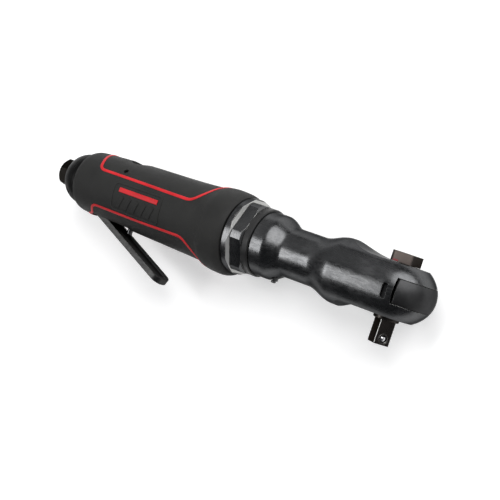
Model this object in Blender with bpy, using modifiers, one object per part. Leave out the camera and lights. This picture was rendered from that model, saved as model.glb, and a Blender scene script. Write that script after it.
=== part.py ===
"""Air ratchet wrench: a lever-started vane motor, a planetary reduction and a crank-driven ratchet head.

The tool lies on its side. Tool coordinates are millimetres: X runs along the handle from the air inlet
to the head, Y points away from the square drive (the spine) and Z is the handle's upper side as it lies.
The empty "tool" moves them so that the origin is at the middle of the base of the whole object.
"""

import math

import bmesh
import bpy
from mathutils import Matrix, Vector

MM = 0.001
GAP = 0.3
ROUND = 24
FINE = 40
COARSE = 14

# Overall.
LENGTH = 281.0
BULGE_SPINE = 25.0
BULGE_BELLY = 26.7
REST_HEIGHT = (BULGE_SPINE + BULGE_BELLY) / 2
TOP_SPINE = 25.3

# Rear end: inlet bushing and exhaust deflector.
INLET_FLATS = 15.9
INLET_HEX_DEPTH = 6.9
INLET_HEX_TURN = math.radians(17.0)
INLET_SHANK_R = 7.2
INLET_BORE_R = 5.6
INLET_BORE_END = 17.0
INLET_END = 24.0
AIR_PASSAGE_R = 4.0
DEFLECTOR_START = 7.3
DEFLECTOR_END = 21.3
DEFLECTOR_R = 16.7
DEFLECTOR_BORE_R = 14.2
DEFLECTOR_SLOT = (12.1, 15.9)

# Motor housing and grip.
HOUSING_START = 17.7
HOUSING_STEP = 21.9
HOUSING_R = 19.0
HOUSING_FRONT_R = 21.5
HOUSING_END = 147.0
CHAMBER_START = 74.0
CHAMBER_R = 17.0
SOCKET_START = 141.0
GRIP_START = 21.6

# Throttle lever, hinged in a pocket near the rear of the belly side.
HINGE_X = 38.6
HINGE_Y = -13.5
LEVER_OPEN = math.radians(24.0)
LEVER_LENGTH = 70.5
LEVER_HALF_WIDTH = 7.0
LEVER_TIP_R = 6.0
LEVER_OUTER = 4.41
LEVER_INNER = 0.76
LEVER_BARREL_R = 3.9
LEVER_PIN_R = 1.5
LEVER_PIN_HALF = 10.0
POCKET_START = 34.3
POCKET_END = 52.0
POCKET_HALF_WIDTH = 7.6
POCKET_FLOOR = -9.3
RECESS_FLOOR = -17.4
RECESS_END = 67.8

# Throttle valve and air regulator.
VALVE_X = 64.5
VALVE_BORE_R = 4.5
STEM_R = 1.75
STEM_TIP = -25.3
VALVE_HEAD_BASE = -10.2
REGULATOR_X = 58.0
REGULATOR_R = 3.3
REGULATOR_TOP = 18.4
WELL_R = 7.9
WELL_FLOOR = 17.1
PLUG_X = 59.5
PLUG_R = 1.1
PLUG_TILT = math.radians(39.5)

# Vane motor.
ROTOR_R = 11.2
ROTOR_START = 83.2
ROTOR_END = 128.4
ROTOR_SHAFT_R = 4.5
PLATE_BORE_R = 5.2
BEARING_R = 9.0
REAR_PLATE = (74.4, 82.5)
REAR_BEARING = (74.8, 79.8)
CYLINDER = (82.8, 128.8)
FRONT_PLATE = (129.1, 138.5)
FRONT_BEARING = (131.9, 137.9)
GEAR_SPACER = (138.8, 140.8)
VANES = 5
VANE_THICKNESS = 1.2
VANE_FOOT_R = 5.3
VANE_TIP_R = 11.25
CYLINDER_BORE_R = 12.8
CYLINDER_OFFSET = 1.2

# Planetary reduction.
MODULE = 0.7
SUN_TEETH = 9
PLANET_TEETH = 12
RING_TEETH = SUN_TEETH + 2 * PLANET_TEETH
PLANETS = 3
PLANET_ORBIT = MODULE * (SUN_TEETH + PLANET_TEETH) / 2
ADDENDUM = 0.75 * MODULE
DEDENDUM = 1.2 * MODULE
TOOTH_FILL = 0.78
PRESSURE_ANGLE = math.radians(20.0)
RING_START = 142.0
RING_END = 153.0
PLANET_START = 142.4
PLANET_END = 152.6
PLANET_PIN_R = 1.6
CARRIER = (153.3, 157.5)
CARRIER_R = 12.2
CRANKSHAFT_R = 5.0
CRANK_WEB = (213.6, 217.2)
CRANK_BEARING = (186.0, 200.0)
CRANK_BUSHING = (203.0, 212.8)

# Clamp nut.
NUT_START = 147.3
NUT_FLANGE_END = 152.7
NUT_HEX_END = 161.0
NUT_END = 165.3
NUT_FLANGE_R = 23.5
NUT_LAND_R = 22.7
NUT_FLATS = 41.6
NUT_SKIRT_R = 20.9

# Ratchet housing.
SPIGOT_START = 141.3
SPIGOT_R = 18.4
SPIGOT_BORE_R = 15.5
BELL_START = 165.6
BELL_END = 173.2
BELL_R = 19.8
NECK_START = 185.0
NECK_END = 202.4
NECK_R = 15.1
NECK_BORE_R = 8.3
HEAD_START = 220.7
FLAT_SPINE = 15.2
FLAT_BELLY = -15.7

# Head: everything here is centred on the anvil's axis, which runs along Y.
ANVIL_X = 256.1
NOSE = LENGTH - ANVIL_X
SLOT_HALF = 7.45
SLOT_R = 17.6
SLOT_SIDE_X = 264.0
NOSE_STEPS = 7
YOKE_HALF = 7.15
YOKE_R = 17.2
YOKE_TEETH = 60
YOKE_TIP_R = 11.6
YOKE_ROOT_R = 12.4
CRANK_THROW = 1.8
DRIVE_BUSHING = (219.6, 228.0)
DRIVE_BUSHING_R = 4.5
FORK_HALF_GAP = 8.7
FORK_HALF_WIDTH = 12.6
DRUM_R = 10.9
DRUM_HALF = 6.3
STUB_R = 7.0
COLLAR_R = 7.6
COLLAR_END = -17.9
SQUARE = 9.525
SQUARE_END = -31.9
SQUARE_TURN = math.radians(38.0)
BALL_R = 2.0
BALL_Y = -28.2
BALL_PROUD = 0.6
KNOB_BASE = 15.5
KNOB_TOP = 21.5
KNOB_LONG = 15.0
KNOB_WIDE = 13.1
KNOB_CORNER_R = 3.5
KNOB_SHAFT_R = 2.5
KNOB_TURN = math.radians(60.0)
PAWL_PIVOT = 6.8
PAWL_PIN_R = 1.3
PAWL_ROCK = math.radians(6.0)
GREASE_X = 177.5

# Object placement: the lever's tip and the grip's spine set the middle, the bulge sets the rest height.
LEVER_TIP_Y = HINGE_Y - LEVER_LENGTH * math.sin(LEVER_OPEN) - LEVER_OUTER * math.cos(LEVER_OPEN)
TOOL_ORIGIN = (-LENGTH / 2, -(TOP_SPINE + LEVER_TIP_Y) / 2, REST_HEIGHT)

FINISHES = {
    "black_oxide": ((0.035, 0.036, 0.038), 0.28, 0.85),
    "satin_steel": ((0.09, 0.09, 0.092), 0.45, 0.8),
    "bright_steel": ((0.55, 0.55, 0.56), 0.25, 1.0),
    "cast_alloy": ((0.30, 0.31, 0.32), 0.5, 0.9),
    "grip_rubber": ((0.028, 0.028, 0.027), 0.75, 0.0),
    "black_plastic": ((0.02, 0.02, 0.02), 0.5, 0.0),
    "brass": ((0.60, 0.45, 0.18), 0.35, 1.0),
    "red_phenolic": ((0.30, 0.10, 0.06), 0.6, 0.0),
    "nitrile": ((0.015, 0.015, 0.015), 0.7, 0.0),
    "felt": ((0.35, 0.33, 0.30), 0.95, 0.0),
}

# A turned or extruded mesh is made along its own Z and then set along one of the tool's axes.
TURN_TO = {
    "X": Matrix(((0, 0, 1, 0), (1, 0, 0, 0), (0, 1, 0, 0), (0, 0, 0, 1))),
    "Y": Matrix(((0, 1, 0, 0), (0, 0, 1, 0), (1, 0, 0, 0), (0, 0, 0, 1))),
    "Z": Matrix.Identity(4),
}


def empty_scene():
    for obj in list(bpy.data.objects):
        bpy.data.objects.remove(obj)


def new_collection(name):
    collection = bpy.data.collections.new(name)
    bpy.context.scene.collection.children.link(collection)
    return collection


empty_scene()
PARTS = new_collection("air_ratchet")


def material(name, finish):
    colour, roughness, metallic = FINISHES[finish]
    made = bpy.data.materials.new(name)
    made.use_nodes = True
    shader = made.node_tree.nodes["Principled BSDF"]
    shader.inputs["Base Color"].default_value = (*colour, 1.0)
    shader.inputs["Roughness"].default_value = roughness
    shader.inputs["Metallic"].default_value = metallic
    return made


def empty(name, at, parent=None):
    """An empty at a point given in tool coordinates."""
    made = bpy.data.objects.new(name, None)
    PARTS.objects.link(made)
    home = parent["home"] if parent else (0.0, 0.0, 0.0)
    made["home"] = at
    made.parent = parent
    made.location = [(a - b) * MM for a, b in zip(at, home)]
    return made


def evaluated(obj):
    """The mesh that an object's modifiers make; the object itself is removed."""
    bpy.context.view_layer.update()
    graph = bpy.context.evaluated_depsgraph_get()
    mesh = bpy.data.meshes.new_from_object(obj.evaluated_get(graph))
    bpy.data.objects.remove(obj)
    return mesh


def temporary(data):
    obj = bpy.data.objects.new("working", data)
    PARTS.objects.link(obj)
    return obj


def tidied(mesh, merge=0.000001):
    """Weld loose caps and seams and point every face outwards."""
    work = bmesh.new()
    work.from_mesh(mesh)
    bmesh.ops.remove_doubles(work, verts=work.verts, dist=merge)
    bmesh.ops.recalc_face_normals(work, faces=work.faces)
    work.to_mesh(mesh)
    work.free()
    return mesh


def set_along(mesh, axis, at):
    """Turn a mesh from its own Z to a tool axis and move it by millimetres."""
    shift = Matrix.Translation(Vector(at) * MM)
    mesh.transform(shift @ TURN_TO[axis])
    return tidied(mesh)


def rolled(mesh, angle, axis="X", about=(0.0, 0.0, 0.0)):
    """Turn a mesh about a line through a tool point."""
    centre = Vector(about) * MM
    turn = Matrix.Rotation(angle, 4, axis)
    mesh.transform(Matrix.Translation(centre) @ turn @ Matrix.Translation(-centre))
    return mesh


def turned(profile, axis="X", at=(0, 0, 0), steps=ROUND):
    """A turned solid from (along, radius) points: a closed loop, or a line that ends on the axis twice."""
    points = [(radius * MM, 0.0, along * MM) for along, radius in profile]
    edges = [(i, i + 1) for i in range(len(points) - 1)]
    if profile[0][1] > 0:
        edges.append((len(points) - 1, 0))
    mesh = bpy.data.meshes.new("profile")
    mesh.from_pydata(points, edges, [])
    obj = temporary(mesh)
    screw = obj.modifiers.new("turn", "SCREW")
    screw.axis = "Z"
    screw.steps = steps
    screw.render_steps = steps
    screw.use_merge_vertices = True
    screw.merge_threshold = 0.00001
    return set_along(evaluated(obj), axis, at)


def rod(start, end, radius, axis="X", at=(0, 0, 0), steps=ROUND, chamfer=0.0):
    profile = [(start, 0), (start, radius - chamfer), (start + chamfer, radius)]
    profile += [(end - chamfer, radius), (end, radius - chamfer), (end, 0)]
    if not chamfer:
        profile = [(start, 0), (start, radius), (end, radius), (end, 0)]
    return turned(profile, axis, at, steps)


def tube(start, end, inner, outer, axis="X", at=(0, 0, 0), steps=ROUND):
    profile = [(end, inner), (end, outer), (start, outer), (start, inner)]
    return turned(profile, axis, at, steps)


def block(low, high, bevel=0.0):
    """A box between two tool points, with optional chamfered edges."""
    mesh = bpy.data.meshes.new("block")
    work = bmesh.new()
    bmesh.ops.create_cube(work, size=1.0)
    size = [(b - a) * MM for a, b in zip(low, high)]
    middle = [(a + b) / 2 * MM for a, b in zip(low, high)]
    bmesh.ops.transform(work, matrix=Matrix.Diagonal((*size, 1.0)), verts=work.verts)
    bmesh.ops.translate(work, vec=middle, verts=work.verts)
    if bevel:
        bmesh.ops.bevel(work, geom=work.edges[:], offset=bevel * MM, segments=1, affect="EDGES")
    work.to_mesh(mesh)
    work.free()
    return tidied(mesh)


def prism(outlines, low, high, axis="X", at=(0, 0, 0)):
    """A flat outline, with holes as further outlines, extruded from low to high along an axis."""
    curve = bpy.data.curves.new("outline", "CURVE")
    curve.dimensions = "2D"
    curve.fill_mode = "BOTH"
    curve.extrude = (high - low) / 2 * MM
    for outline in outlines:
        spline = curve.splines.new("POLY")
        spline.points.add(len(outline) - 1)
        for point, (u, v) in zip(spline.points, outline):
            point.co = (u * MM, v * MM, 0.0, 1.0)
        spline.use_cyclic_u = True
    middle = {"X": (1, 0, 0), "Y": (0, 1, 0), "Z": (0, 0, 1)}[axis]
    shift = [a + m * (low + high) / 2 for a, m in zip(at, middle)]
    return set_along(evaluated(temporary(curve)), axis, shift)


def coil(start, end, radius, wire, turns, axis="Y", at=(0, 0, 0), per_turn=9):
    """A helical spring as a wire of round section."""
    curve = bpy.data.curves.new("coil", "CURVE")
    curve.dimensions = "3D"
    curve.bevel_depth = wire * MM
    curve.bevel_resolution = 1
    curve.use_fill_caps = True
    count = int(turns * per_turn) + 1
    spline = curve.splines.new("POLY")
    spline.points.add(count - 1)
    for i, point in enumerate(spline.points):
        angle = 2 * math.pi * i / per_turn
        along = start + (end - start) * i / (count - 1)
        point.co = (radius * math.cos(angle) * MM, radius * math.sin(angle) * MM, along * MM, 1.0)
    return set_along(evaluated(temporary(curve)), axis, at)


def combined(base, tool, operation):
    body = temporary(base)
    cutter = temporary(tool)
    modifier = body.modifiers.new("boolean", "BOOLEAN")
    modifier.solver = "EXACT"
    modifier.operation = operation
    modifier.object = cutter
    mesh = evaluated(body)
    bpy.data.objects.remove(cutter)
    return tidied(mesh)


def cut(base, *cutters):
    for cutter in cutters:
        base = combined(base, cutter, "DIFFERENCE")
    return base


def joined(base, *others):
    for other in others:
        base = combined(base, other, "UNION")
    return base


def part(name, mesh, finish, parent, smooth=math.radians(38.0)):
    """Name a finished mesh, give it its material and hang it on its pivot without moving it."""
    mesh.name = name
    mesh.shade_smooth()
    mesh.set_sharp_from_angle(angle=smooth)
    mesh.materials.clear()
    mesh.materials.append(material(name, finish))
    obj = bpy.data.objects.new(name, mesh)
    PARTS.objects.link(obj)
    obj.parent = parent
    obj.location = [-a * MM for a in parent["home"]]
    return obj


def arc(centre, radius, start, end, count):
    """Points on an arc, ends included; angles in degrees."""
    angles = [math.radians(start + (end - start) * i / (count - 1)) for i in range(count)]
    return [(centre[0] + radius * math.cos(a), centre[1] + radius * math.sin(a)) for a in angles]


def eased(start, end, count):
    """Points from one (along, radius) to another on an S-shaped curve, level at both ends; end left out."""
    points = []
    for i in range(count):
        t = i / count
        blend = (1 - math.cos(math.pi * t)) / 2
        points.append((start[0] + (end[0] - start[0]) * t, start[1] + (end[1] - start[1]) * blend))
    return points


def ring_points(radius, count, centre=(0.0, 0.0)):
    angles = [2 * math.pi * i / count for i in range(count)]
    return [(centre[0] + radius * math.cos(a), centre[1] + radius * math.sin(a)) for a in angles]


def gear_outline(teeth, phase=0.0, internal=False):
    """Straight-flanked teeth with generous backlash; a tooth is centred on the phase angle."""
    pitch_r = MODULE * teeth / 2
    outward = -1 if internal else 1
    tip_r = pitch_r + outward * ADDENDUM
    root_r = pitch_r - outward * DEDENDUM
    half = TOOTH_FILL * math.pi * MODULE / 4
    tip_half = (half - ADDENDUM * math.tan(PRESSURE_ANGLE)) / tip_r
    root_half = (half + DEDENDUM * math.tan(PRESSURE_ANGLE)) / root_r
    points = []
    for i in range(teeth):
        middle = phase + 2 * math.pi * i / teeth
        for angle, radius in (
            (middle - root_half, root_r),
            (middle - tip_half, tip_r),
            (middle + tip_half, tip_r),
            (middle + root_half, root_r),
        ):
            points.append((radius * math.cos(angle), radius * math.sin(angle)))
    return points


def polar(radius, angle):
    return (radius * math.cos(angle), radius * math.sin(angle))


# ---------------------------------------------------------------- rear end


def inlet_bushing():
    corner = INLET_FLATS / math.sqrt(3.0)
    hexagon = [polar(corner, INLET_HEX_TURN + math.radians(60 * i)) for i in range(6)]
    head = prism([hexagon], 0.0, INLET_HEX_DEPTH, "X")
    head = combined(head, turned([(-1, 0), (-1, 6.8), (8, 15.8), (8, 0)]), "INTERSECT")
    body = joined(head, rod(2.0, INLET_END, INLET_SHANK_R, chamfer=0.6))
    bore = [(-1, 0), (-1, 7.6), (1.0, INLET_BORE_R), (INLET_BORE_END, INLET_BORE_R), (INLET_BORE_END, 0)]
    return cut(body, turned(bore), rod(INLET_BORE_END - 1, INLET_END + 1, AIR_PASSAGE_R, steps=COARSE))


def inlet_screen():
    """A pressed cup that points into the air stream."""
    inside = [(12.3, 4.9), (16.2, 1.9), (16.2, 0)]
    outside = [(16.7, 0), (16.7, 2.2), (12.6, 5.3), (11.8, 5.3), (11.8, 4.9)]
    return turned(inside + outside, steps=COARSE)


def exhaust_deflector():
    dome = [(DEFLECTOR_START, 8.4), (8.0, 10.3), (9.9, 12.5), (12.9, 14.7), (16.3, 16.1), (18.9, DEFLECTOR_R)]
    inside = [(DEFLECTOR_END, DEFLECTOR_BORE_R), (16.7, DEFLECTOR_BORE_R), (13.3, 12.0), (11.1, 9.0),
              (11.1, INLET_SHANK_R + GAP)]
    profile = dome + [(DEFLECTOR_END, DEFLECTOR_R)] + inside + [(DEFLECTOR_START, INLET_SHANK_R + GAP)]
    body = turned(profile, steps=FINE)
    slots = []
    for angle in (-40.0, 0.0, 40.0):
        slot = block((DEFLECTOR_SLOT[0], -20.0, -3.2), (DEFLECTOR_SLOT[1], -9.0, 3.2))
        slots.append(rolled(slot, math.radians(angle)))
    return cut(body, *slots)


# ---------------------------------------------------------------- housing and grip


def deflector_o_ring():
    angles = [-math.pi / 3 * i for i in range(6)]
    return turned([(19.9 + 0.8 * math.cos(a), 13.1 + 0.8 * math.sin(a)) for a in angles], steps=20)


def lever_openings():
    """Cutters for the deep hinge pocket and the shallow recess that the pressed lever sinks into."""
    half = POCKET_HALF_WIDTH
    return [
        block((POCKET_START, -30.0, -half), (POCKET_END, POCKET_FLOOR, half)),
        block((POCKET_START + 5, -30.0, -half), (RECESS_END, RECESS_FLOOR, half)),
    ]


def regulator_well(steps):
    return rod(WELL_FLOOR, 30.0, WELL_R, "Y", (REGULATOR_X, 0, 0), steps=steps)


def motor_housing():
    profile = [
        (HOUSING_START, 0), (HOUSING_START, 12.0), (HOUSING_STEP, 12.0), (HOUSING_STEP, 15.8), (26.0, 17.2),
        (34.0, HOUSING_R), (124.0, HOUSING_R), (128.0, HOUSING_FRONT_R), (HOUSING_END, HOUSING_FRONT_R),
        (HOUSING_END, SPIGOT_R + GAP), (SOCKET_START, SPIGOT_R + GAP), (SOCKET_START, CHAMBER_R),
        (CHAMBER_START, CHAMBER_R), (CHAMBER_START, 0),
    ]
    body = turned(profile, steps=FINE)
    cuts = [
        rod(HOUSING_START - 2, INLET_END + 1, INLET_SHANK_R + GAP, steps=COARSE),
        rod(INLET_END, VALVE_X, AIR_PASSAGE_R + 0.2, steps=12),
        rod(-30.0, 6.0, VALVE_BORE_R, "Y", (VALVE_X, 0, 0), steps=COARSE),
        rod(VALVE_X + 1.0, CHAMBER_START + 2.0, 2.0, at=(0, -13.0, 0), steps=12),
        rod(3.0, 30.0, REGULATOR_R + GAP, "Y", (REGULATOR_X, 0, 0), steps=COARSE),
        rod(-14.0, 14.0, LEVER_PIN_R + GAP, "Z", (HINGE_X, HINGE_Y, 0), steps=12),
        rolled(rod(11.5, 30.0, PLUG_R + GAP, "Z", (PLUG_X, 0, 0), steps=12), -PLUG_TILT),
        regulator_well(20),
    ] + lever_openings()
    for side in (-1, 1):
        cuts.append(rod(HOUSING_START - 2, CHAMBER_START + 2, 1.5, at=(0, 0, side * 10.2), steps=8))
    return cut(body, *cuts)


GRIP_STATIONS = [
    # along, spine radius, belly radius
    (GRIP_START, 16.9, 17.2),
    (23.0, 18.8, 18.7),
    (26.5, 19.9, 19.6),
    (34.0, 20.4, 20.2),
    (68.0, 21.7, 21.4),
    (104.0, 22.5, 22.7),
    (123.0, 23.5, 23.5),
    (127.5, 24.3, 24.3),
    (131.5, 25.1, 25.8),
    (135.5, TOP_SPINE, 26.5),
    (142.0, BULGE_SPINE, BULGE_BELLY),
    (145.6, 24.4, 25.9),
    (HOUSING_END, 23.6, 24.5),
]


def grip_radius(angle, spine, belly):
    return (spine + belly) / 2 + (spine - belly) / 2 * math.cos(angle)


def grip_sleeve():
    """A moulded sleeve: an oval that is fuller on the belly side, over a round bore."""
    bore = [
        (HOUSING_END, HOUSING_FRONT_R + GAP), (127.7, HOUSING_FRONT_R + GAP), (123.7, HOUSING_R + GAP),
        (34.0, HOUSING_R + GAP), (26.0, 17.2 + GAP), (GRIP_START, 15.8 + GAP),
    ]
    count = 36
    rings = GRIP_STATIONS + [(along, radius, radius) for along, radius in bore]
    work = bmesh.new()
    loops = []
    for along, spine, belly in rings:
        loop = []
        for i in range(count):
            angle = 2 * math.pi * i / count
            y, z = polar(grip_radius(angle, spine, belly), angle)
            loop.append(work.verts.new((along * MM, y * MM, z * MM)))
        loops.append(loop)
    for one, two in zip(loops, loops[1:] + loops[:1]):
        for i in range(count):
            j = (i + 1) % count
            work.faces.new((one[i], one[j], two[j], two[i]))
    mesh = bpy.data.meshes.new("sleeve")
    work.to_mesh(mesh)
    work.free()
    plug_hole = rolled(rod(15.0, 30.0, PLUG_R + 2 * GAP, "Z", (PLUG_X, 0, 0), steps=12), -PLUG_TILT)
    return cut(tidied(mesh), *lever_openings(), regulator_well(ROUND), plug_hole)


# ---------------------------------------------------------------- throttle


def throttle_lever():
    """Rounded plate and hinge barrel, made level along X at the hinge and then swung open."""
    tip = arc((LEVER_LENGTH - LEVER_TIP_R, LEVER_HALF_WIDTH - LEVER_TIP_R), LEVER_TIP_R, 90, 0, 5)
    outline = [(0.0, LEVER_HALF_WIDTH)] + tip + [(x, -z) for x, z in tip[::-1]] + [(0.0, -LEVER_HALF_WIDTH)]
    plate = prism([[(z, x) for x, z in outline]], -LEVER_OUTER, -LEVER_INNER, "Y")
    barrel = rod(-LEVER_HALF_WIDTH + 0.1, LEVER_HALF_WIDTH - 0.1, LEVER_BARREL_R, "Z", steps=COARSE)
    lever = joined(plate, barrel)
    lever = cut(lever, rod(-10.0, 10.0, LEVER_PIN_R + GAP, "Z", steps=12))
    lever.transform(Matrix.Translation((HINGE_X * MM, HINGE_Y * MM, 0.0)))
    return rolled(lever, -LEVER_OPEN, "Z", (HINGE_X, HINGE_Y, 0))


def valve_stem():
    angles = (0.0, 0.55, 1.05, math.pi / 2)
    tip = [(STEM_TIP + STEM_R * (1 - math.cos(a)), STEM_R * math.sin(a)) for a in angles]
    head = [(VALVE_HEAD_BASE, STEM_R), (VALVE_HEAD_BASE, 3.0), (-9.4, 3.5), (-8.2, 3.5), (-8.2, 0)]
    return turned(tip + head, "Y", (VALVE_X, 0, 0), steps=12)


def air_regulator():
    body = turned([(4.6, 0), (8.5, REGULATOR_R), (REGULATOR_TOP - 0.5, REGULATOR_R), (REGULATOR_TOP, 2.8),
                   (REGULATOR_TOP, 0)], "Y", (REGULATOR_X, 0, 0), steps=COARSE)
    slot = block((REGULATOR_X - 5, REGULATOR_TOP - 1.2, -0.5), (REGULATOR_X + 5, REGULATOR_TOP + 2, 0.5))
    return cut(body, slot)


# ---------------------------------------------------------------- motor


def rotor():
    """Slotted drum on a shaft whose front end is cut as the sun pinion."""
    half_slot = VANE_THICKNESS / 2 + GAP
    floor = VANE_FOOT_R - GAP
    edge = math.asin(half_slot / ROTOR_R)
    outline = []
    for i in range(VANES):
        middle = 2 * math.pi * i / VANES
        along, across = Vector(polar(1.0, middle)), Vector(polar(1.0, middle + math.pi / 2))
        outline += [tuple(along * floor - across * half_slot), tuple(along * floor + across * half_slot)]
        start = middle + edge
        span = 2 * math.pi / VANES - 2 * edge
        outline += [polar(ROTOR_R, start + span * k / 7) for k in range(8)]
    drum = prism([outline], ROTOR_START, ROTOR_END)
    shaft = rod(REAR_BEARING[0] + 0.2, FRONT_BEARING[1] + 0.5, ROTOR_SHAFT_R, steps=COARSE)
    pinion = prism([gear_outline(SUN_TEETH)], FRONT_BEARING[1] - 0.5, PLANET_END)
    return joined(drum, shaft, pinion)


def vane(number):
    half = VANE_THICKNESS / 2
    plate = block((ROTOR_START + 0.4, VANE_FOOT_R, -half), (ROTOR_END - 0.4, VANE_TIP_R, half))
    return rolled(plate, 2 * math.pi * number / VANES)


def cylinder():
    start, end = CYLINDER
    bore = rod(start - 2, end + 2, CYLINDER_BORE_R, at=(0, -CYLINDER_OFFSET, 0))
    return cut(rod(start, end, CHAMBER_R - GAP), bore)


def rear_end_plate():
    start, end = REAR_PLATE
    seat = REAR_BEARING[1] + 0.4
    profile = [(end, PLATE_BORE_R), (end, CHAMBER_R - GAP), (start, CHAMBER_R - GAP),
               (start, BEARING_R + GAP), (seat, BEARING_R + GAP), (seat, PLATE_BORE_R)]
    return cut(turned(profile), rod(start - 4, end + 4, 2.0, at=(0, -13.0, 0), steps=12))


def front_end_plate():
    start, end = FRONT_PLATE
    seat = FRONT_BEARING[0] - 0.4
    return turned([(end, BEARING_R + GAP), (end, CHAMBER_R - GAP), (start, CHAMBER_R - GAP),
                   (start, PLATE_BORE_R), (seat, PLATE_BORE_R), (seat, BEARING_R + GAP)])


def planet_centre(number):
    return polar(PLANET_ORBIT, 2 * math.pi * number / PLANETS)


def planet_gear(number):
    angle = 2 * math.pi * number / PLANETS
    outline = gear_outline(PLANET_TEETH, angle + math.pi / PLANET_TEETH)
    bore = ring_points(PLANET_PIN_R + GAP, 14)
    y, z = planet_centre(number)
    return prism([outline, bore], PLANET_START, PLANET_END, "X", (0, y, z))


def ring_gear():
    outer = ring_points(SPIGOT_BORE_R - GAP, ROUND)
    return prism([outer, gear_outline(RING_TEETH, 0.0, internal=True)], RING_START, RING_END)


def crankshaft():
    """Planet carrier, shaft, crank web and eccentric crank pin."""
    start, end = CARRIER
    web_start, web_end = CRANK_WEB
    profile = [
        (start, 0), (start, CARRIER_R), (end, CARRIER_R), (end, 7.0), (end + 2.5, CRANKSHAFT_R),
        (web_start, CRANKSHAFT_R), (web_start, 7.3), (web_end, 7.3), (web_end, 0),
    ]
    pin = rod(web_end - 1.2, DRIVE_BUSHING[1] + 0.6, 2.6, at=(0, CRANK_THROW, 0), steps=12, chamfer=0.4)
    holes = []
    for i in range(PLANETS):
        holes.append(rod(start - 3, end + 3, PLANET_PIN_R + GAP, at=(0, *planet_centre(i)), steps=14))
    return cut(joined(turned(profile), pin), *holes)


def drive_bushing():
    start, end = DRIVE_BUSHING
    profile = [(end, 2.9), (end, 3.9), (end - 1.6, DRIVE_BUSHING_R), (start + 1.6, DRIVE_BUSHING_R),
               (start, 3.9), (start, 2.9)]
    return turned(profile, at=(0, CRANK_THROW, 0), steps=COARSE)


# ---------------------------------------------------------------- nut and ratchet housing


def clamp_nut():
    profile = [
        (NUT_START, SPIGOT_R + GAP), (NUT_START, NUT_FLANGE_R - 0.8), (NUT_START + 0.8, NUT_FLANGE_R),
        (NUT_FLANGE_END, NUT_FLANGE_R), (NUT_FLANGE_END, NUT_LAND_R), (NUT_HEX_END - 1.0, NUT_LAND_R),
        (NUT_HEX_END, NUT_LAND_R - 1.2), (NUT_HEX_END, NUT_SKIRT_R), (NUT_END - 0.5, NUT_SKIRT_R),
        (NUT_END, NUT_SKIRT_R - 0.5), (NUT_END, SPIGOT_R + GAP),
    ]
    body = turned(profile, steps=FINE)
    corner = NUT_FLATS / math.sqrt(3.0)
    hexagon = [polar(corner, math.radians(30 + 60 * i)) for i in range(6)]
    outside = cut(rod(NUT_FLANGE_END, NUT_HEX_END, 27.0, steps=20), prism([hexagon], 150.0, 163.0))
    return cut(body, outside)


def nose_profile(count):
    """Quarter ellipse from the head's side to the nose, end on the axis."""
    angles = [math.pi / 2 * i / count for i in range(count + 1)]
    return [(ANVIL_X + NOSE * math.sin(a), BELL_R * math.cos(a)) for a in angles[:-1]] + [(LENGTH, 0)]


def flats():
    """Cutters for the milled flats on the spine and belly sides, with their run-out curves."""
    spine_r = ((242.7 - 222.9) ** 2 + (BELL_R - FLAT_SPINE) ** 2) / (2 * (BELL_R - FLAT_SPINE))
    belly_r = ((231.0 - 224.0) ** 2 + (BELL_R + FLAT_BELLY) ** 2) / (2 * (BELL_R + FLAT_BELLY))
    spine_sweep = math.degrees(math.asin((242.7 - 222.9) / spine_r)) + 4
    belly_sweep = math.degrees(math.asin((231.0 - 224.0) / belly_r)) + 12
    spine = arc((242.7, FLAT_SPINE + spine_r), spine_r, -90 - spine_sweep, -90, 8)
    belly = arc((231.0, FLAT_BELLY - belly_r), belly_r, 90 + belly_sweep, 90, 7)
    spine = spine + [(LENGTH + 5, FLAT_SPINE), (LENGTH + 5, 30.0), (spine[0][0], 30.0)]
    belly = belly + [(LENGTH + 5, FLAT_BELLY), (LENGTH + 5, -30.0), (belly[0][0], -30.0)]
    return [prism([spine], -30.0, 30.0, "Z"), prism([belly], -30.0, 30.0, "Z")]


def yoke_slot():
    """Cutter between the two ears: a channel for the fork, a round pocket and the open front."""
    channel = 14.9
    rear = math.degrees(math.acos(-math.sqrt(SLOT_R ** 2 - channel ** 2) / SLOT_R))
    front = math.degrees(math.acos((SLOT_SIDE_X - ANVIL_X) / SLOT_R))
    side = [(z, ANVIL_X + x) for x, z in arc((0.0, 0.0), SLOT_R, rear, front, 7)]
    half = [(channel, 215.0)] + side + [(30.0, SLOT_SIDE_X - 0.6), (30.0, LENGTH + 5)]
    outline = half + [(-z, x) for z, x in half[::-1]]
    return prism([outline], -SLOT_HALF, SLOT_HALF, "Y")


def ratchet_housing():
    profile = [(SPIGOT_START, 0), (SPIGOT_START, SPIGOT_R), (BELL_START, SPIGOT_R), (BELL_START, BELL_R)]
    profile += eased((BELL_END, BELL_R), (NECK_START, NECK_R), 5)
    profile += [(NECK_START, NECK_R)]
    profile += eased((NECK_END, NECK_R), (HEAD_START, BELL_R), 5)
    profile += [(HEAD_START, BELL_R)] + nose_profile(NOSE_STEPS)
    body = turned(profile, steps=FINE)
    at_anvil = (ANVIL_X, 0, 0)
    cuts = flats() + [
        turned([(140.0, 0), (140.0, SPIGOT_BORE_R), (170.0, SPIGOT_BORE_R), (177.0, NECK_BORE_R),
                (219.0, NECK_BORE_R), (219.0, 0)]),
        yoke_slot(),
        block((257.5, -1.6 - 4.35, 14.0), (260.5, -1.6 + 4.35, 30.0)),
        rod(-20.0, 0.0, COLLAR_R + GAP, "Y", at_anvil),
        rod(0.0, 20.0, STUB_R + GAP, "Y", at_anvil),
        rod(14.0, 20.0, 9.4, "Y", at_anvil),
        rod(-25.0, -14.2, 2.7, "Y", (GREASE_X, 0, 0), steps=12),
    ]
    return cut(body, *cuts)


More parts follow.
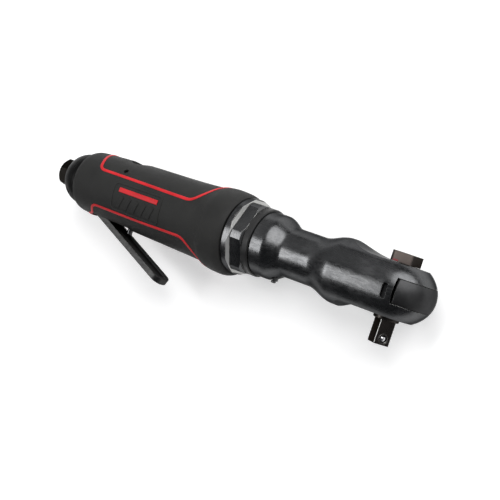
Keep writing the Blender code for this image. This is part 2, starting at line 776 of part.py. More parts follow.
def grease_fitting():
    return turned([(-20.7, 0), (-20.7, 1.1), (-20.2, 1.8), (-19.2, 2.4), (-14.6, 2.4), (-14.6, 0)], "Y",
                  (GREASE_X, 0, 0), steps=12)


# ---------------------------------------------------------------- ratchet head


def ratchet_yoke():
    at_anvil = (ANVIL_X, 0, 0)
    disc = rod(-YOKE_HALF, YOKE_HALF, YOKE_R, "Y", at_anvil, steps=FINE)
    dome = [(ANVIL_X - 1, 0), (ANVIL_X - 1, BELL_R)] + nose_profile(NOSE_STEPS)
    nose = turned(dome, steps=FINE)
    front = block((SLOT_SIDE_X + 1.6, -YOKE_HALF, -30.0), (LENGTH + 5, YOKE_HALF, 30.0))
    arm_outline = [
        (FORK_HALF_WIDTH, 218.6), (FORK_HALF_WIDTH, 236.0), (13.8, 252.0),
        (-13.8, 252.0), (-FORK_HALF_WIDTH, 236.0), (-FORK_HALF_WIDTH, 218.6),
        (-FORK_HALF_GAP, 218.6), (-FORK_HALF_GAP, 231.0), (-FORK_HALF_GAP + 2, 233.0),
        (FORK_HALF_GAP - 2, 233.0), (FORK_HALF_GAP, 231.0), (FORK_HALF_GAP, 218.6),
    ]
    arm = prism([arm_outline], -YOKE_HALF + 0.05, YOKE_HALF - 0.05, "Y")
    body = joined(combined(nose, front, "INTERSECT"), disc, arm)
    teeth = []
    for i in range(YOKE_TEETH):
        middle = 2 * math.pi * i / YOKE_TEETH
        teeth.append(polar(YOKE_ROOT_R, middle))
        teeth.append(polar(YOKE_TIP_R, middle + math.pi / YOKE_TEETH))
    return cut(body, prism([teeth], -9.0, 9.0, "Y", at_anvil))


def square_turned(mesh):
    """Turn a piece made square to the tool to the drive square's angle."""
    return rolled(mesh, -SQUARE_TURN, "Y", (ANVIL_X, 0, 0))


def anvil():
    at_anvil = (ANVIL_X, 0, 0)
    profile = [
        (COLLAR_END, 0), (COLLAR_END, COLLAR_R - 0.6), (COLLAR_END + 0.6, COLLAR_R),
        (-DRUM_HALF, COLLAR_R), (-DRUM_HALF, DRUM_R), (DRUM_HALF, DRUM_R), (DRUM_HALF, STUB_R),
        (15.0, STUB_R), (15.0, 0),
    ]
    half = SQUARE / 2
    square = block((ANVIL_X - half, SQUARE_END, -half), (ANVIL_X + half, COLLAR_END + 4, half), bevel=0.5)
    body = joined(turned(profile, "Y", at_anvil), square_turned(square))
    return cut(
        body,
        block((ANVIL_X + 3.4, -5.3, -6.2), (ANVIL_X + 14.0, 5.3, 6.2)),
        rod(-2.5, 2.5, 4.4, "Y", at_anvil, steps=COARSE),
        rod(0.0, 17.0, 2.8, "Y", at_anvil, steps=COARSE),
        rod(-7.0, 7.0, PAWL_PIN_R + GAP, "Y", (ANVIL_X + PAWL_PIVOT, 0, 0), steps=12),
        square_turned(rod(0.4, 8.0, BALL_R + GAP, at=(ANVIL_X, BALL_Y, 0), steps=12)),
    )


def detent_ball():
    centre = SQUARE / 2 + BALL_PROUD - BALL_R
    angles = [math.pi * i / 8 for i in range(9)]
    profile = [(-BALL_R * math.cos(a), BALL_R * math.sin(a)) for a in angles]
    profile[0] = (-BALL_R, 0)
    profile[-1] = (BALL_R, 0)
    return square_turned(turned(profile, "X", (ANVIL_X + centre, BALL_Y, 0), steps=14))


def ratchet_pawl():
    """Double-ended rocking pawl, set to its driving side."""
    half = [(4.6, 4.0), (5.4, 4.9), (9.3, 4.9), (9.9, 4.3), (9.2, 2.0)]
    outline = half + [(x, -z) for x, z in half[::-1]]
    body = prism([[(z, x) for x, z in outline]], -5.0, 5.0, "Y", (ANVIL_X, 0, 0))
    body = cut(body, rod(-7.0, 7.0, PAWL_PIN_R + GAP, "Y", (ANVIL_X + PAWL_PIVOT, 0, 0), steps=12))
    return rolled(body, -PAWL_ROCK, "Y", (ANVIL_X + PAWL_PIVOT, 0, 0))


def knob_turned(mesh):
    return rolled(mesh, KNOB_TURN / 2, "Y", (ANVIL_X, 0, 0))


def reverse_knob():
    """A block with rounded rear corners and a bevelled top, on the shaft that turns the pawl's plunger."""
    wide, long = KNOB_WIDE / 2, KNOB_LONG / 2
    corner = arc((wide - KNOB_CORNER_R, KNOB_CORNER_R - long), KNOB_CORNER_R, -90, 0, 5)
    half = corner + [(wide, long - 0.8), (wide - 0.8, long)]
    outline = [(z, ANVIL_X + x) for z, x in half + [(-z, x) for z, x in half[::-1]]]
    head = prism([outline], KNOB_BASE, KNOB_TOP, "Y")
    bevelled = block((ANVIL_X - long, KNOB_BASE - 5, -wide), (ANVIL_X + long, KNOB_TOP, wide), bevel=0.8)
    head = combined(head, bevelled, "INTERSECT")
    shaft = rod(-2.0, KNOB_BASE + 1, KNOB_SHAFT_R, "Y", (ANVIL_X, 0, 0), steps=COARSE)
    return cut(joined(head, shaft), knob_turned(rod(-1.8, 4.0, 1.5, at=(ANVIL_X, 0, 0), steps=12)))


def build():
    tool = empty("tool", (0.0, 0.0, 0.0))
    tool.location = [a * MM for a in TOOL_ORIGIN]
    deflector_pivot = empty("deflector_pivot", (DEFLECTOR_END, 0, 0), tool)
    lever_pivot = empty("lever_pivot", (HINGE_X, HINGE_Y, 0), tool)
    stem_guide = empty("stem_guide", (VALVE_X, 0, 0), tool)
    regulator_pivot = empty("regulator_pivot", (REGULATOR_X, 0, 0), tool)
    rotor_pivot = empty("rotor_pivot", (CHAMBER_START, 0, 0), tool)
    crank_pivot = empty("crank_pivot", (RING_END, 0, 0), tool)
    anvil_pivot = empty("anvil_pivot", (ANVIL_X, 0, 0), tool)
    yoke_pivot = empty("yoke_pivot", (ANVIL_X, 0, 0), tool)
    knob_pivot = empty("knob_pivot", (ANVIL_X, 0, 0), anvil_pivot)
    pawl_pivot = empty("pawl_pivot", (ANVIL_X + PAWL_PIVOT, 0, 0), anvil_pivot)

    part("inlet_bushing", inlet_bushing(), "black_oxide", tool)
    part("inlet_screen", inlet_screen(), "brass", tool)
    part("exhaust_deflector", exhaust_deflector(), "black_plastic", deflector_pivot)
    part("deflector_o_ring", deflector_o_ring(), "nitrile", tool)
    part("exhaust_muffler", tube(13.5, 17.1, INLET_SHANK_R + 0.8, 11.4, steps=20), "felt", tool)
    part("motor_housing", motor_housing(), "cast_alloy", tool)
    part("grip_sleeve", grip_sleeve(), "grip_rubber", tool)

    part("throttle_lever", throttle_lever(), "black_oxide", lever_pivot)
    hinge = (HINGE_X, HINGE_Y, 0)
    lever_pin = rod(-LEVER_PIN_HALF, LEVER_PIN_HALF, LEVER_PIN_R, "Z", hinge, steps=12, chamfer=0.3)
    part("lever_pin", lever_pin, "bright_steel", tool)
    part("valve_stem", valve_stem(), "bright_steel", stem_guide)
    valve_bushing = tube(-17.0, -10.5, STEM_R + GAP, VALVE_BORE_R - GAP, "Y", (VALVE_X, 0, 0), steps=COARSE)
    part("valve_bushing", valve_bushing, "brass", tool)
    valve_spring = coil(-7.4, 5.2, 2.6, 0.4, 4.5, "Y", (VALVE_X, 0, 0))
    part("valve_spring", valve_spring, "bright_steel", tool)
    part("air_regulator", air_regulator(), "satin_steel", regulator_pivot)
    passage_plug = rolled(rod(11.8, 18.4, PLUG_R, "Z", (PLUG_X, 0, 0), steps=12), -PLUG_TILT)
    part("passage_plug", passage_plug, "satin_steel", tool)

    part("rear_end_plate", rear_end_plate(), "cast_alloy", tool)
    rear_bearing = tube(*REAR_BEARING, ROTOR_SHAFT_R + GAP, BEARING_R, steps=20)
    part("rear_bearing", rear_bearing, "bright_steel", tool)
    part("cylinder", cylinder(), "satin_steel", tool)
    part("rotor", rotor(), "satin_steel", rotor_pivot)
    for i in range(VANES):
        part(f"vane_{i + 1}", vane(i), "red_phenolic", rotor_pivot)
    part("front_end_plate", front_end_plate(), "cast_alloy", tool)
    front_bearing = tube(*FRONT_BEARING, ROTOR_SHAFT_R + GAP, BEARING_R, steps=20)
    part("front_bearing", front_bearing, "bright_steel", tool)
    part("gear_spacer", tube(*GEAR_SPACER, 12.2, CHAMBER_R - GAP, steps=20), "satin_steel", tool)
    part("ring_gear", ring_gear(), "satin_steel", tool)
    for i in range(PLANETS):
        centre = (RING_START, *planet_centre(i))
        planet_pivot = empty(f"planet_pivot_{i + 1}", centre, crank_pivot)
        part(f"planet_gear_{i + 1}", planet_gear(i), "bright_steel", planet_pivot)
        pin = rod(PLANET_START + 0.2, CARRIER[1] - 0.2, PLANET_PIN_R, at=(0, *planet_centre(i)), steps=14)
        part(f"planet_pin_{i + 1}", pin, "bright_steel", crank_pivot)
    part("crankshaft", crankshaft(), "satin_steel", crank_pivot)
    journal, outer = CRANKSHAFT_R + GAP, NECK_BORE_R - GAP
    part("crank_bearing", tube(*CRANK_BEARING, journal, outer, steps=20), "bright_steel", tool)
    part("crank_bushing", tube(*CRANK_BUSHING, journal, outer, steps=20), "brass", tool)
    part("drive_bushing", drive_bushing(), "bright_steel", crank_pivot)

    part("clamp_nut", clamp_nut(), "black_oxide", tool)
    part("ratchet_housing", ratchet_housing(), "black_oxide", tool)
    part("grease_fitting", grease_fitting(), "satin_steel", tool)
    part("ratchet_yoke", ratchet_yoke(), "satin_steel", yoke_pivot)
    part("anvil", anvil(), "black_oxide", anvil_pivot)
    for name, inner, low in (("lower_thrust_washer", COLLAR_R, -7.15), ("upper_thrust_washer", STUB_R, 6.6)):
        washer = tube(low, low + 0.55, inner + GAP, 11.2, "Y", (ANVIL_X, 0, 0), steps=20)
        part(name, washer, "brass", tool)
    retaining_ring = tube(14.15, 15.0, STUB_R + GAP, 9.1, "Y", (ANVIL_X, 0, 0), steps=20)
    part("retaining_ring", retaining_ring, "bright_steel", anvil_pivot)
    part("detent_ball", detent_ball(), "bright_steel", anvil_pivot)
    part("reverse_knob", reverse_knob(), "satin_steel", knob_pivot)
    plunger = knob_turned(rod(0.4, 4.0, 1.2, at=(ANVIL_X, 0, 0), steps=12, chamfer=0.5))
    part("pawl_plunger", plunger, "bright_steel", knob_pivot)
    plunger_spring = knob_turned(coil(-1.3, 0.0, 0.85, 0.18, 1.5, "X", (ANVIL_X, 0, 0), per_turn=8))
    part("plunger_spring", plunger_spring, "bright_steel", knob_pivot)
    part("ratchet_pawl", ratchet_pawl(), "bright_steel", pawl_pivot)
    pawl_pin = rod(-6.1, 6.1, PAWL_PIN_R, "Y", (ANVIL_X + PAWL_PIVOT, 0, 0), steps=12)
    part("pawl_pin", pawl_pin, "bright_steel", anvil_pivot)


build()
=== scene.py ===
"""Looks of the air ratchet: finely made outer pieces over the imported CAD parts, finishes, light and camera.

Lengths are in the tool's millimetres, as in the CAD source: X from the air inlet to the nose, Y away from
the square drive, Z up. Every piece's origin is the tool's origin.
"""

import math

import bmesh
import bpy
import numpy as np
from mathutils import Matrix, Vector


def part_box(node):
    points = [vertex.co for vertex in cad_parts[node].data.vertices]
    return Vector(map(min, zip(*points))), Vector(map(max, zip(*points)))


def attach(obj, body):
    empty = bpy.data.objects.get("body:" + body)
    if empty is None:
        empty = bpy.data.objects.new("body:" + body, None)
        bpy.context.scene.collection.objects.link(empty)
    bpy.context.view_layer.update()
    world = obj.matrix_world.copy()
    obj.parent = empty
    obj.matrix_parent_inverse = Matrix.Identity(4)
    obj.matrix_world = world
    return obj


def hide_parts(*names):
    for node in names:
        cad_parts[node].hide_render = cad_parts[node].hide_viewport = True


MM = 0.001
GAP = 0.3
ROUND = 64
FINE = 128

# Main dimensions, the same as the CAD's. Radii and heights are measured from the tool's axis.
LENGTH = 281.0
GRIP_START = 21.6
GRIP_END = 147.0
INLET_FLATS = 15.9
INLET_LENGTH = 6.9
INLET_TURN = math.radians(17.0)
HINGE_X = 38.6
HINGE_Y = -13.5
LEVER_OPEN = math.radians(24.0)
LEVER_LENGTH = 70.5
LEVER_HALF_WIDTH = 7.0
LEVER_TIP_R = 6.0
LEVER_BARREL_R = 3.9
LEVER_OUTER = 4.41
LEVER_INNER = 0.76
POCKET_START = 34.3
POCKET_END = 52.0
POCKET_HALF_WIDTH = 7.6
POCKET_FLOOR = -9.3
RECESS_FLOOR = -17.4
RECESS_END = 67.8
VALVE_X = 64.5
VALVE_R = 1.75
VALVE_TIP = -25.3
REGULATOR_X = 58.0
REGULATOR_TOP = 18.4
WELL_R = 7.9
WELL_FLOOR = 17.1
PLUG_X = 59.5
PLUG_TILT = math.radians(39.5)
NUT_FLATS = 41.6
NUT_FLANGE_R = 23.5
NUT_FLANGE_END = 152.7
NUT_FLATS_END = 161.0
SPIGOT_R = 18.4
BELL_R = 19.8
BELL_START = 166.0
BELL_END = 173.2
NECK_R = 15.1
NECK_START = 185.0
NECK_END = 202.4
HEAD_START = 220.7
FLAT_SPINE = 15.2
FLAT_BELLY = -15.7
WINDOW_Y = -1.6
ANVIL_X = 256.1
NOSE = LENGTH - ANVIL_X
SLOT_HALF = 7.45
SLOT_R = 17.6
SLOT_SIDE_X = 264.0
YOKE_HALF = 7.15
SQUARE = 9.525
SQUARE_END = -31.9
SQUARE_TURN = math.radians(38.0)
SQUARE_BEVEL = 0.55
BALL_R = 2.0
BALL_Y = -28.2
STUB_R = 7.0
COLLAR_R = 7.6
COLLAR_END = -17.9
GREASE_X = 177.5
KNOB_BASE = 15.5
KNOB_TOP = 21.5
KNOB_HALF_LENGTH = 7.5
KNOB_HALF_WIDTH = 6.55
INLAY_R = 21.5  # the sleeve's mean radius, which turns angles into widths along its surface

TURN_TO = {
    "X": Matrix(((0, 0, 1, 0), (1, 0, 0, 0), (0, 1, 0, 0), (0, 0, 0, 1))),
    "Y": Matrix(((0, 1, 0, 0), (0, 0, 1, 0), (1, 0, 0, 0), (0, 0, 0, 1))),
    "Z": Matrix.Identity(4),
}

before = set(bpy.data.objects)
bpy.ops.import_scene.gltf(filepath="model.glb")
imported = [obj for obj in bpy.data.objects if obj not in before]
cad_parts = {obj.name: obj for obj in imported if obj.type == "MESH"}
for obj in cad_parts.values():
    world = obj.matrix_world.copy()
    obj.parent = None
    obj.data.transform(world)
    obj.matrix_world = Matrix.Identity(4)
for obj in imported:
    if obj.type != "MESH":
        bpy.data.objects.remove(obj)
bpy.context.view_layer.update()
inlet_low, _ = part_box("inlet_bushing")
nut_low, nut_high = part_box("clamp_nut")
ORIGIN = Vector((inlet_low.x, (nut_low.y + nut_high.y) / 2, (nut_low.z + nut_high.z) / 2))
SCENE = bpy.context.scene


# ---------------------------------------------------------------- mesh tools


def temporary(data):
    obj = bpy.data.objects.new("working", data)
    SCENE.collection.objects.link(obj)
    return obj


def evaluated(obj):
    """The mesh that an object's modifiers make; the object itself is removed."""
    bpy.context.view_layer.update()
    graph = bpy.context.evaluated_depsgraph_get()
    mesh = bpy.data.meshes.new_from_object(obj.evaluated_get(graph))
    bpy.data.objects.remove(obj)
    return mesh


def tidied(mesh, merge=0.000002):
    work = bmesh.new()
    work.from_mesh(mesh)
    bmesh.ops.remove_doubles(work, verts=work.verts, dist=merge)
    bmesh.ops.recalc_face_normals(work, faces=work.faces)
    work.to_mesh(mesh)
    work.free()
    return mesh


def set_along(mesh, axis, at):
    mesh.transform(Matrix.Translation(Vector(at) * MM) @ TURN_TO[axis])
    return tidied(mesh)


def rolled(mesh, angle, axis="X", about=(0.0, 0.0, 0.0)):
    centre = Vector(about) * MM
    mesh.transform(Matrix.Translation(centre) @ Matrix.Rotation(angle, 4, axis) @ Matrix.Translation(-centre))
    return mesh


def turned(profile, axis="X", at=(0, 0, 0), steps=ROUND):
    """A turned solid from (along, radius) points: a closed loop, or a line that ends on the axis twice."""
    points = [(radius * MM, 0.0, along * MM) for along, radius in profile]
    edges = [(i, i + 1) for i in range(len(points) - 1)]
    if profile[0][1] > 0:
        edges.append((len(points) - 1, 0))
    mesh = bpy.data.meshes.new("profile")
    mesh.from_pydata(points, edges, [])
    obj = temporary(mesh)
    screw = obj.modifiers.new("turn", "SCREW")
    screw.axis = "Z"
    screw.steps = steps
    screw.render_steps = steps
    screw.use_merge_vertices = True
    screw.merge_threshold = 0.00001
    return set_along(evaluated(obj), axis, at)


def rod(start, end, radius, axis="X", at=(0, 0, 0), steps=ROUND, chamfer=0.0):
    profile = [(start, 0), (start, radius), (end, radius), (end, 0)]
    if chamfer:
        profile = [(start, 0), (start, radius - chamfer), (start + chamfer, radius)]
        profile += [(end - chamfer, radius), (end, radius - chamfer), (end, 0)]
    return turned(profile, axis, at, steps)


def block(low, high, bevel=0.0, segments=3):
    mesh = bpy.data.meshes.new("block")
    work = bmesh.new()
    bmesh.ops.create_cube(work, size=1.0)
    size = [(b - a) * MM for a, b in zip(low, high)]
    middle = [(a + b) / 2 * MM for a, b in zip(low, high)]
    bmesh.ops.transform(work, matrix=Matrix.Diagonal((*size, 1.0)), verts=work.verts)
    bmesh.ops.translate(work, vec=middle, verts=work.verts)
    if bevel:
        bmesh.ops.bevel(work, geom=work.edges[:], offset=bevel * MM, segments=segments, profile=0.5,
                        affect="EDGES")
    work.to_mesh(mesh)
    work.free()
    return tidied(mesh)


def prism(outlines, low, high, axis="X", at=(0, 0, 0)):
    curve = bpy.data.curves.new("outline", "CURVE")
    curve.dimensions = "2D"
    curve.fill_mode = "BOTH"
    curve.extrude = (high - low) / 2 * MM
    for outline in outlines:
        spline = curve.splines.new("POLY")
        spline.points.add(len(outline) - 1)
        for point, (u, v) in zip(spline.points, outline):
            point.co = (u * MM, v * MM, 0.0, 1.0)
        spline.use_cyclic_u = True
    middle = {"X": (1, 0, 0), "Y": (0, 1, 0), "Z": (0, 0, 1)}[axis]
    shift = [a + m * (low + high) / 2 for a, m in zip(at, middle)]
    return set_along(evaluated(temporary(curve)), axis, shift)


def combined(base, tool, operation):
    body = temporary(base)
    cutter = temporary(tool)
    modifier = body.modifiers.new("boolean", "BOOLEAN")
    modifier.solver = "EXACT"
    modifier.operation = operation
    modifier.object = cutter
    mesh = evaluated(body)
    bpy.data.objects.remove(cutter)
    return tidied(mesh)


def cut(base, *cutters):
    for cutter in cutters:
        base = combined(base, cutter, "DIFFERENCE")
    return base


def joined(base, *others):
    for other in others:
        base = combined(base, other, "UNION")
    return base


def softened(mesh, width, segments=3, angle=32.0):
    """Round every edge sharper than the angle."""
    obj = temporary(mesh)
    bevel = obj.modifiers.new("bevel", "BEVEL")
    bevel.width = width * MM
    bevel.segments = segments
    bevel.limit_method = "ANGLE"
    bevel.angle_limit = math.radians(angle)
    bevel.use_clamp_overlap = True
    bevel.miter_outer = "MITER_ARC"
    return evaluated(obj)


def merged(meshes):
    """Several closed shells in one mesh, left as they are."""
    work = bmesh.new()
    for mesh in meshes:
        work.from_mesh(mesh)
    made = bpy.data.meshes.new("merged")
    work.to_mesh(made)
    work.free()
    return made


def piece(name, mesh, finish, body, nodes, smooth=32.0):
    """A finished piece: smooth shading with true sharp edges, its finish, its body and its CAD nodes."""
    mesh.name = name
    mesh.shade_smooth()
    mesh.set_sharp_from_angle(angle=math.radians(smooth))
    mesh.materials.clear()
    mesh.materials.append(FINISH[finish])
    obj = bpy.data.objects.new(name, mesh)
    SCENE.collection.objects.link(obj)
    obj.location = ORIGIN
    weighted = obj.modifiers.new("weighted_normals", "WEIGHTED_NORMAL")
    weighted.keep_sharp = True
    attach(obj, body)
    if nodes:
        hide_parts(*nodes)
    return obj


def arc(centre, radius, start, end, count):
    angles = [math.radians(start + (end - start) * i / (count - 1)) for i in range(count)]
    return [(centre[0] + radius * math.cos(a), centre[1] + radius * math.sin(a)) for a in angles]


def eased(start, end, count):
    """Points from one (along, radius) to another on an S-shaped curve, level at both ends; end left out."""
    points = []
    for i in range(count):
        t = i / count
        blend = (1 - math.cos(math.pi * t)) / 2
        points.append((start[0] + (end[0] - start[0]) * t, start[1] + (end[1] - start[1]) * blend))
    return points


def polar(radius, angle):
    return (radius * math.cos(angle), radius * math.sin(angle))


# ---------------------------------------------------------------- finishes


class Nodes:
    """Shorthand for building one material's node tree."""

    def __init__(self, name):
        self.material = bpy.data.materials.new(name)
        self.material.use_nodes = True
        self.tree = self.material.node_tree
        self.shader = self.tree.nodes["Principled BSDF"]
        self.coords = self.add("ShaderNodeTexCoord").outputs["Object"]

    def add(self, kind, **settings):
        node = self.tree.nodes.new(kind)
        for key, value in settings.items():
            setattr(node, key, value)
        return node

    def link(self, output, socket):
        self.tree.links.new(output, socket)

    def put(self, socket, value):
        if isinstance(value, bpy.types.NodeSocket):
            self.link(value, socket)
        else:
            socket.default_value = value

    def set(self, **inputs):
        for key, value in inputs.items():
            self.put(self.shader.inputs[key.replace("_", " ")], value)

    def noise(self, per_metre, detail=3.0, rough=0.55, stretch=(1, 1, 1)):
        mapping = self.add("ShaderNodeMapping")
        self.link(self.coords, mapping.inputs["Vector"])
        mapping.inputs["Scale"].default_value = stretch
        noise = self.add("ShaderNodeTexNoise")
        self.link(mapping.outputs["Vector"], noise.inputs["Vector"])
        noise.inputs["Scale"].default_value = per_metre
        noise.inputs["Detail"].default_value = detail
        noise.inputs["Roughness"].default_value = rough
        return noise.outputs["Fac"]

    def spread(self, value, low, high, to_low=0.0, to_high=1.0):
        ramp = self.add("ShaderNodeMapRange", clamp=True, interpolation_type="SMOOTHSTEP")
        self.link(value, ramp.inputs["Value"])
        ramp.inputs["From Min"].default_value = low
        ramp.inputs["From Max"].default_value = high
        ramp.inputs["To Min"].default_value = to_low
        ramp.inputs["To Max"].default_value = to_high
        return ramp.outputs["Result"]

    def math(self, operation, one, two):
        node = self.add("ShaderNodeMath", operation=operation)
        self.put(node.inputs[0], one)
        self.put(node.inputs[1], two)
        return node.outputs["Value"]

    def mix(self, amount, one, two):
        """Two colours blended by a 0 to 1 value."""
        node = self.add("ShaderNodeMix", data_type="RGBA")
        self.put(node.inputs["Factor"], amount)
        self.put(node.inputs[6], one if isinstance(one, bpy.types.NodeSocket) else (*one, 1.0))
        self.put(node.inputs[7], two if isinstance(two, bpy.types.NodeSocket) else (*two, 1.0))
        return node.outputs[2]

    def edge(self, radius):
        """1 on edges narrower than the radius and 0 on flat or gently curved surface."""
        bevel = self.add("ShaderNodeBevel", samples=6)
        bevel.inputs["Radius"].default_value = radius * MM
        plain = self.add("ShaderNodeNewGeometry")
        dot = self.add("ShaderNodeVectorMath", operation="DOT_PRODUCT")
        self.link(bevel.outputs["Normal"], dot.inputs[0])
        self.link(plain.outputs["Normal"], dot.inputs[1])
        return self.spread(dot.outputs["Value"], 0.985, 0.80, 0.0, 1.0)

    def bump(self, height, strength, distance, under=None, rounding=0.0):
        node = self.add("ShaderNodeBump")
        self.link(height, node.inputs["Height"])
        node.inputs["Strength"].default_value = strength
        node.inputs["Distance"].default_value = distance * MM
        if rounding:
            bevel = self.add("ShaderNodeBevel", samples=6)
            bevel.inputs["Radius"].default_value = rounding * MM
            under = bevel.outputs["Normal"]
        if under is not None:
            self.link(under, node.inputs["Normal"])
        return node.outputs["Normal"]


def rubber(name, dark, light, grain=0.22, rough=(0.62, 0.78), gloss=0.30):
    """Moulded rubber: fine leathery grain, faint cloudy colour, softly rubbed edges."""
    made = Nodes(name)
    cloud = made.spread(made.noise(70.0, 4.0), 0.35, 0.68)
    speck = made.spread(made.noise(2600.0, 2.0), 0.4, 0.65)
    colour = made.mix(cloud, dark, light)
    rubbed = tuple(min(1.0, c * 1.9) for c in light)
    colour = made.mix(made.math("MULTIPLY", made.edge(0.5), 0.35), colour, rubbed)
    made.set(Base_Color=colour, Roughness=made.spread(cloud, 0.0, 1.0, *rough), Metallic=0.0)
    made.set(Specular_IOR_Level=gloss)
    grain_normal = made.bump(made.noise(1500.0, 3.0, 0.6), 0.5, grain, rounding=0.25)
    made.set(Normal=made.bump(speck, 0.35, grain * 0.4, under=grain_normal))
    return made.material


def metal(name, dark, light, rough, worn, wear=0.5, grain=(1, 1, 1), metallic=1.0, ripple=0.02, rim=1.0):
    """Finished metal: cloudy colour and roughness, fine directional grain, bright worn edges.

    A rim under 1 darkens the reflection at grazing angles, as an oiled oxide coat does.
    """
    radius = 0.35
    made = Nodes(name)
    cloud = made.spread(made.noise(55.0, 4.0), 0.35, 0.68)
    patchy = made.spread(made.noise(420.0, 3.0), 0.35, 0.7, 0.35, 1.0)
    rubbed = made.math("MULTIPLY", made.math("MULTIPLY", made.edge(radius), patchy), wear)
    colour = made.mix(rubbed, made.mix(cloud, dark, light), worn)
    scratch = made.noise(900.0, 3.0, 0.6, stretch=grain)
    level = made.math("ADD", made.spread(scratch, 0.3, 0.7, rough[0], rough[1]),
                      made.math("MULTIPLY", cloud, (rough[1] - rough[0]) * 0.5))
    made.set(Base_Color=colour, Roughness=level, Metallic=metallic, Specular_Tint=(rim, rim, rim, 1.0))
    made.set(Normal=made.bump(scratch, 0.4, ripple, rounding=radius * 0.8))
    return made.material


FINISH = {
    "rubber": rubber("moulded_grip_rubber", (0.010, 0.010, 0.0095), (0.018, 0.018, 0.0172)),
    "red_rubber": rubber("red_inlay_rubber", (0.46, 0.008, 0.013), (0.58, 0.016, 0.022), grain=0.10,
                         rough=(0.45, 0.58)),
    "oxide": metal("black_oxide_steel", (0.075, 0.076, 0.078), (0.11, 0.111, 0.113), (0.20, 0.32),
                   (0.50, 0.49, 0.47), wear=0.42, grain=(0.25, 1, 1), ripple=0.05, rim=0.30),
    "oxide_turned": metal("turned_oxide_steel", (0.070, 0.071, 0.073), (0.105, 0.106, 0.108), (0.18, 0.30),
                          (0.60, 0.59, 0.57), wear=0.75, grain=(9, 0.4, 0.4), rim=0.35),
    "oxide_dark": metal("drive_oxide_steel", (0.030, 0.027, 0.025), (0.046, 0.042, 0.039), (0.24, 0.38),
                        (0.60, 0.59, 0.57), wear=0.7, grain=(4, 1, 4), rim=0.35),
    # Light steel colour for the nut's sloped shoulder: a painted highlight standing in for the light it
    # catches.
    "machined": metal("shoulder_painted_highlight", (0.38, 0.38, 0.37), (0.48, 0.48, 0.47), (0.30, 0.42),
                      (0.5, 0.5, 0.5), wear=0.2, grain=(1, 6, 6), rim=0.5),
    "inlet": metal("inlet_oxide_steel", (0.012, 0.011, 0.010), (0.022, 0.020, 0.018), (0.34, 0.48),
                   (0.20, 0.19, 0.18), wear=0.3, grain=(6, 1, 1), rim=0.25),
    # Light steel colour for the middle of the square's long rounded edges: a painted highlight along them.
    "edge": metal("square_edge_painted_highlight", (0.50, 0.50, 0.49), (0.62, 0.61, 0.60), (0.30, 0.45),
                  (0.7, 0.7, 0.7), wear=0.2),
    "mark": rubber("dull_red_mark", (0.14, 0.025, 0.030), (0.19, 0.040, 0.045), grain=0.05),
    "lever": metal("lever_oxide_steel", (0.036, 0.036, 0.036), (0.054, 0.054, 0.053), (0.34, 0.48),
                   (0.30, 0.30, 0.29), wear=0.25, grain=(0.3, 1, 3), rim=0.5),
    "yoke": metal("satin_yoke_steel", (0.042, 0.042, 0.043), (0.060, 0.060, 0.061), (0.36, 0.48),
                  (0.40, 0.40, 0.39), wear=0.30, grain=(1, 6, 1), rim=0.5),
    "bright": metal("polished_bearing_steel", (0.50, 0.50, 0.51), (0.62, 0.62, 0.63), (0.10, 0.22),
                    (0.75, 0.75, 0.75), wear=0.2),
    "satin": metal("satin_machined_steel", (0.20, 0.20, 0.205), (0.28, 0.28, 0.285), (0.28, 0.42),
                   (0.55, 0.55, 0.54), wear=0.4, grain=(6, 1, 1)),
    "knob": metal("knob_oxide_steel", (0.085, 0.070, 0.063), (0.115, 0.096, 0.088), (0.30, 0.44),
                  (0.30, 0.28, 0.26), wear=0.4, grain=(1, 4, 1), metallic=0.85, rim=0.4),
    "alloy": metal("blackened_cast_alloy", (0.040, 0.040, 0.041), (0.062, 0.062, 0.063), (0.42, 0.60),
                   (0.40, 0.40, 0.40), wear=0.3, ripple=0.06),
    "brass": metal("machined_brass", (0.52, 0.36, 0.12), (0.66, 0.49, 0.20), (0.22, 0.36),
                   (0.80, 0.66, 0.36), wear=0.3, grain=(6, 1, 1)),
    "plastic": rubber("moulded_black_plastic", (0.002, 0.002, 0.002), (0.005, 0.005, 0.005), grain=0.05,
                      rough=(0.40, 0.52), gloss=0.10),
    "phenolic": rubber("laminated_phenolic", (0.20, 0.055, 0.03), (0.32, 0.11, 0.06), grain=0.08,
                       rough=(0.45, 0.6)),
    "nitrile": rubber("nitrile_rubber", (0.010, 0.010, 0.010), (0.016, 0.016, 0.016), grain=0.04,
                      rough=(0.4, 0.55)),
    "felt": rubber("pressed_felt", (0.26, 0.24, 0.21), (0.40, 0.37, 0.33), grain=0.5, rough=(0.9, 0.98)),
}

CAD_FINISH = {
    "alloy": ["motor_housing", "rear_end_plate", "front_end_plate"],
    "brass": ["inlet_screen", "valve_bushing", "crank_bushing", "lower_thrust_washer", "upper_thrust_washer"],
    "bright": ["lever_pin", "valve_spring", "rear_bearing", "front_bearing", "crank_bearing", "drive_bushing",
               "pawl_plunger", "plunger_spring", "ratchet_pawl", "pawl_pin"]
    + [f"planet_{part}_{i}" for part in ("gear", "pin") for i in range(1, 4)],
    "felt": ["exhaust_muffler"],
    "nitrile": ["deflector_o_ring"],
    "phenolic": [f"vane_{i}" for i in range(1, 6)],
    "satin": ["passage_plug", "cylinder", "rotor", "gear_spacer", "ring_gear", "crankshaft"],
}


# ---------------------------------------------------------------- rear end


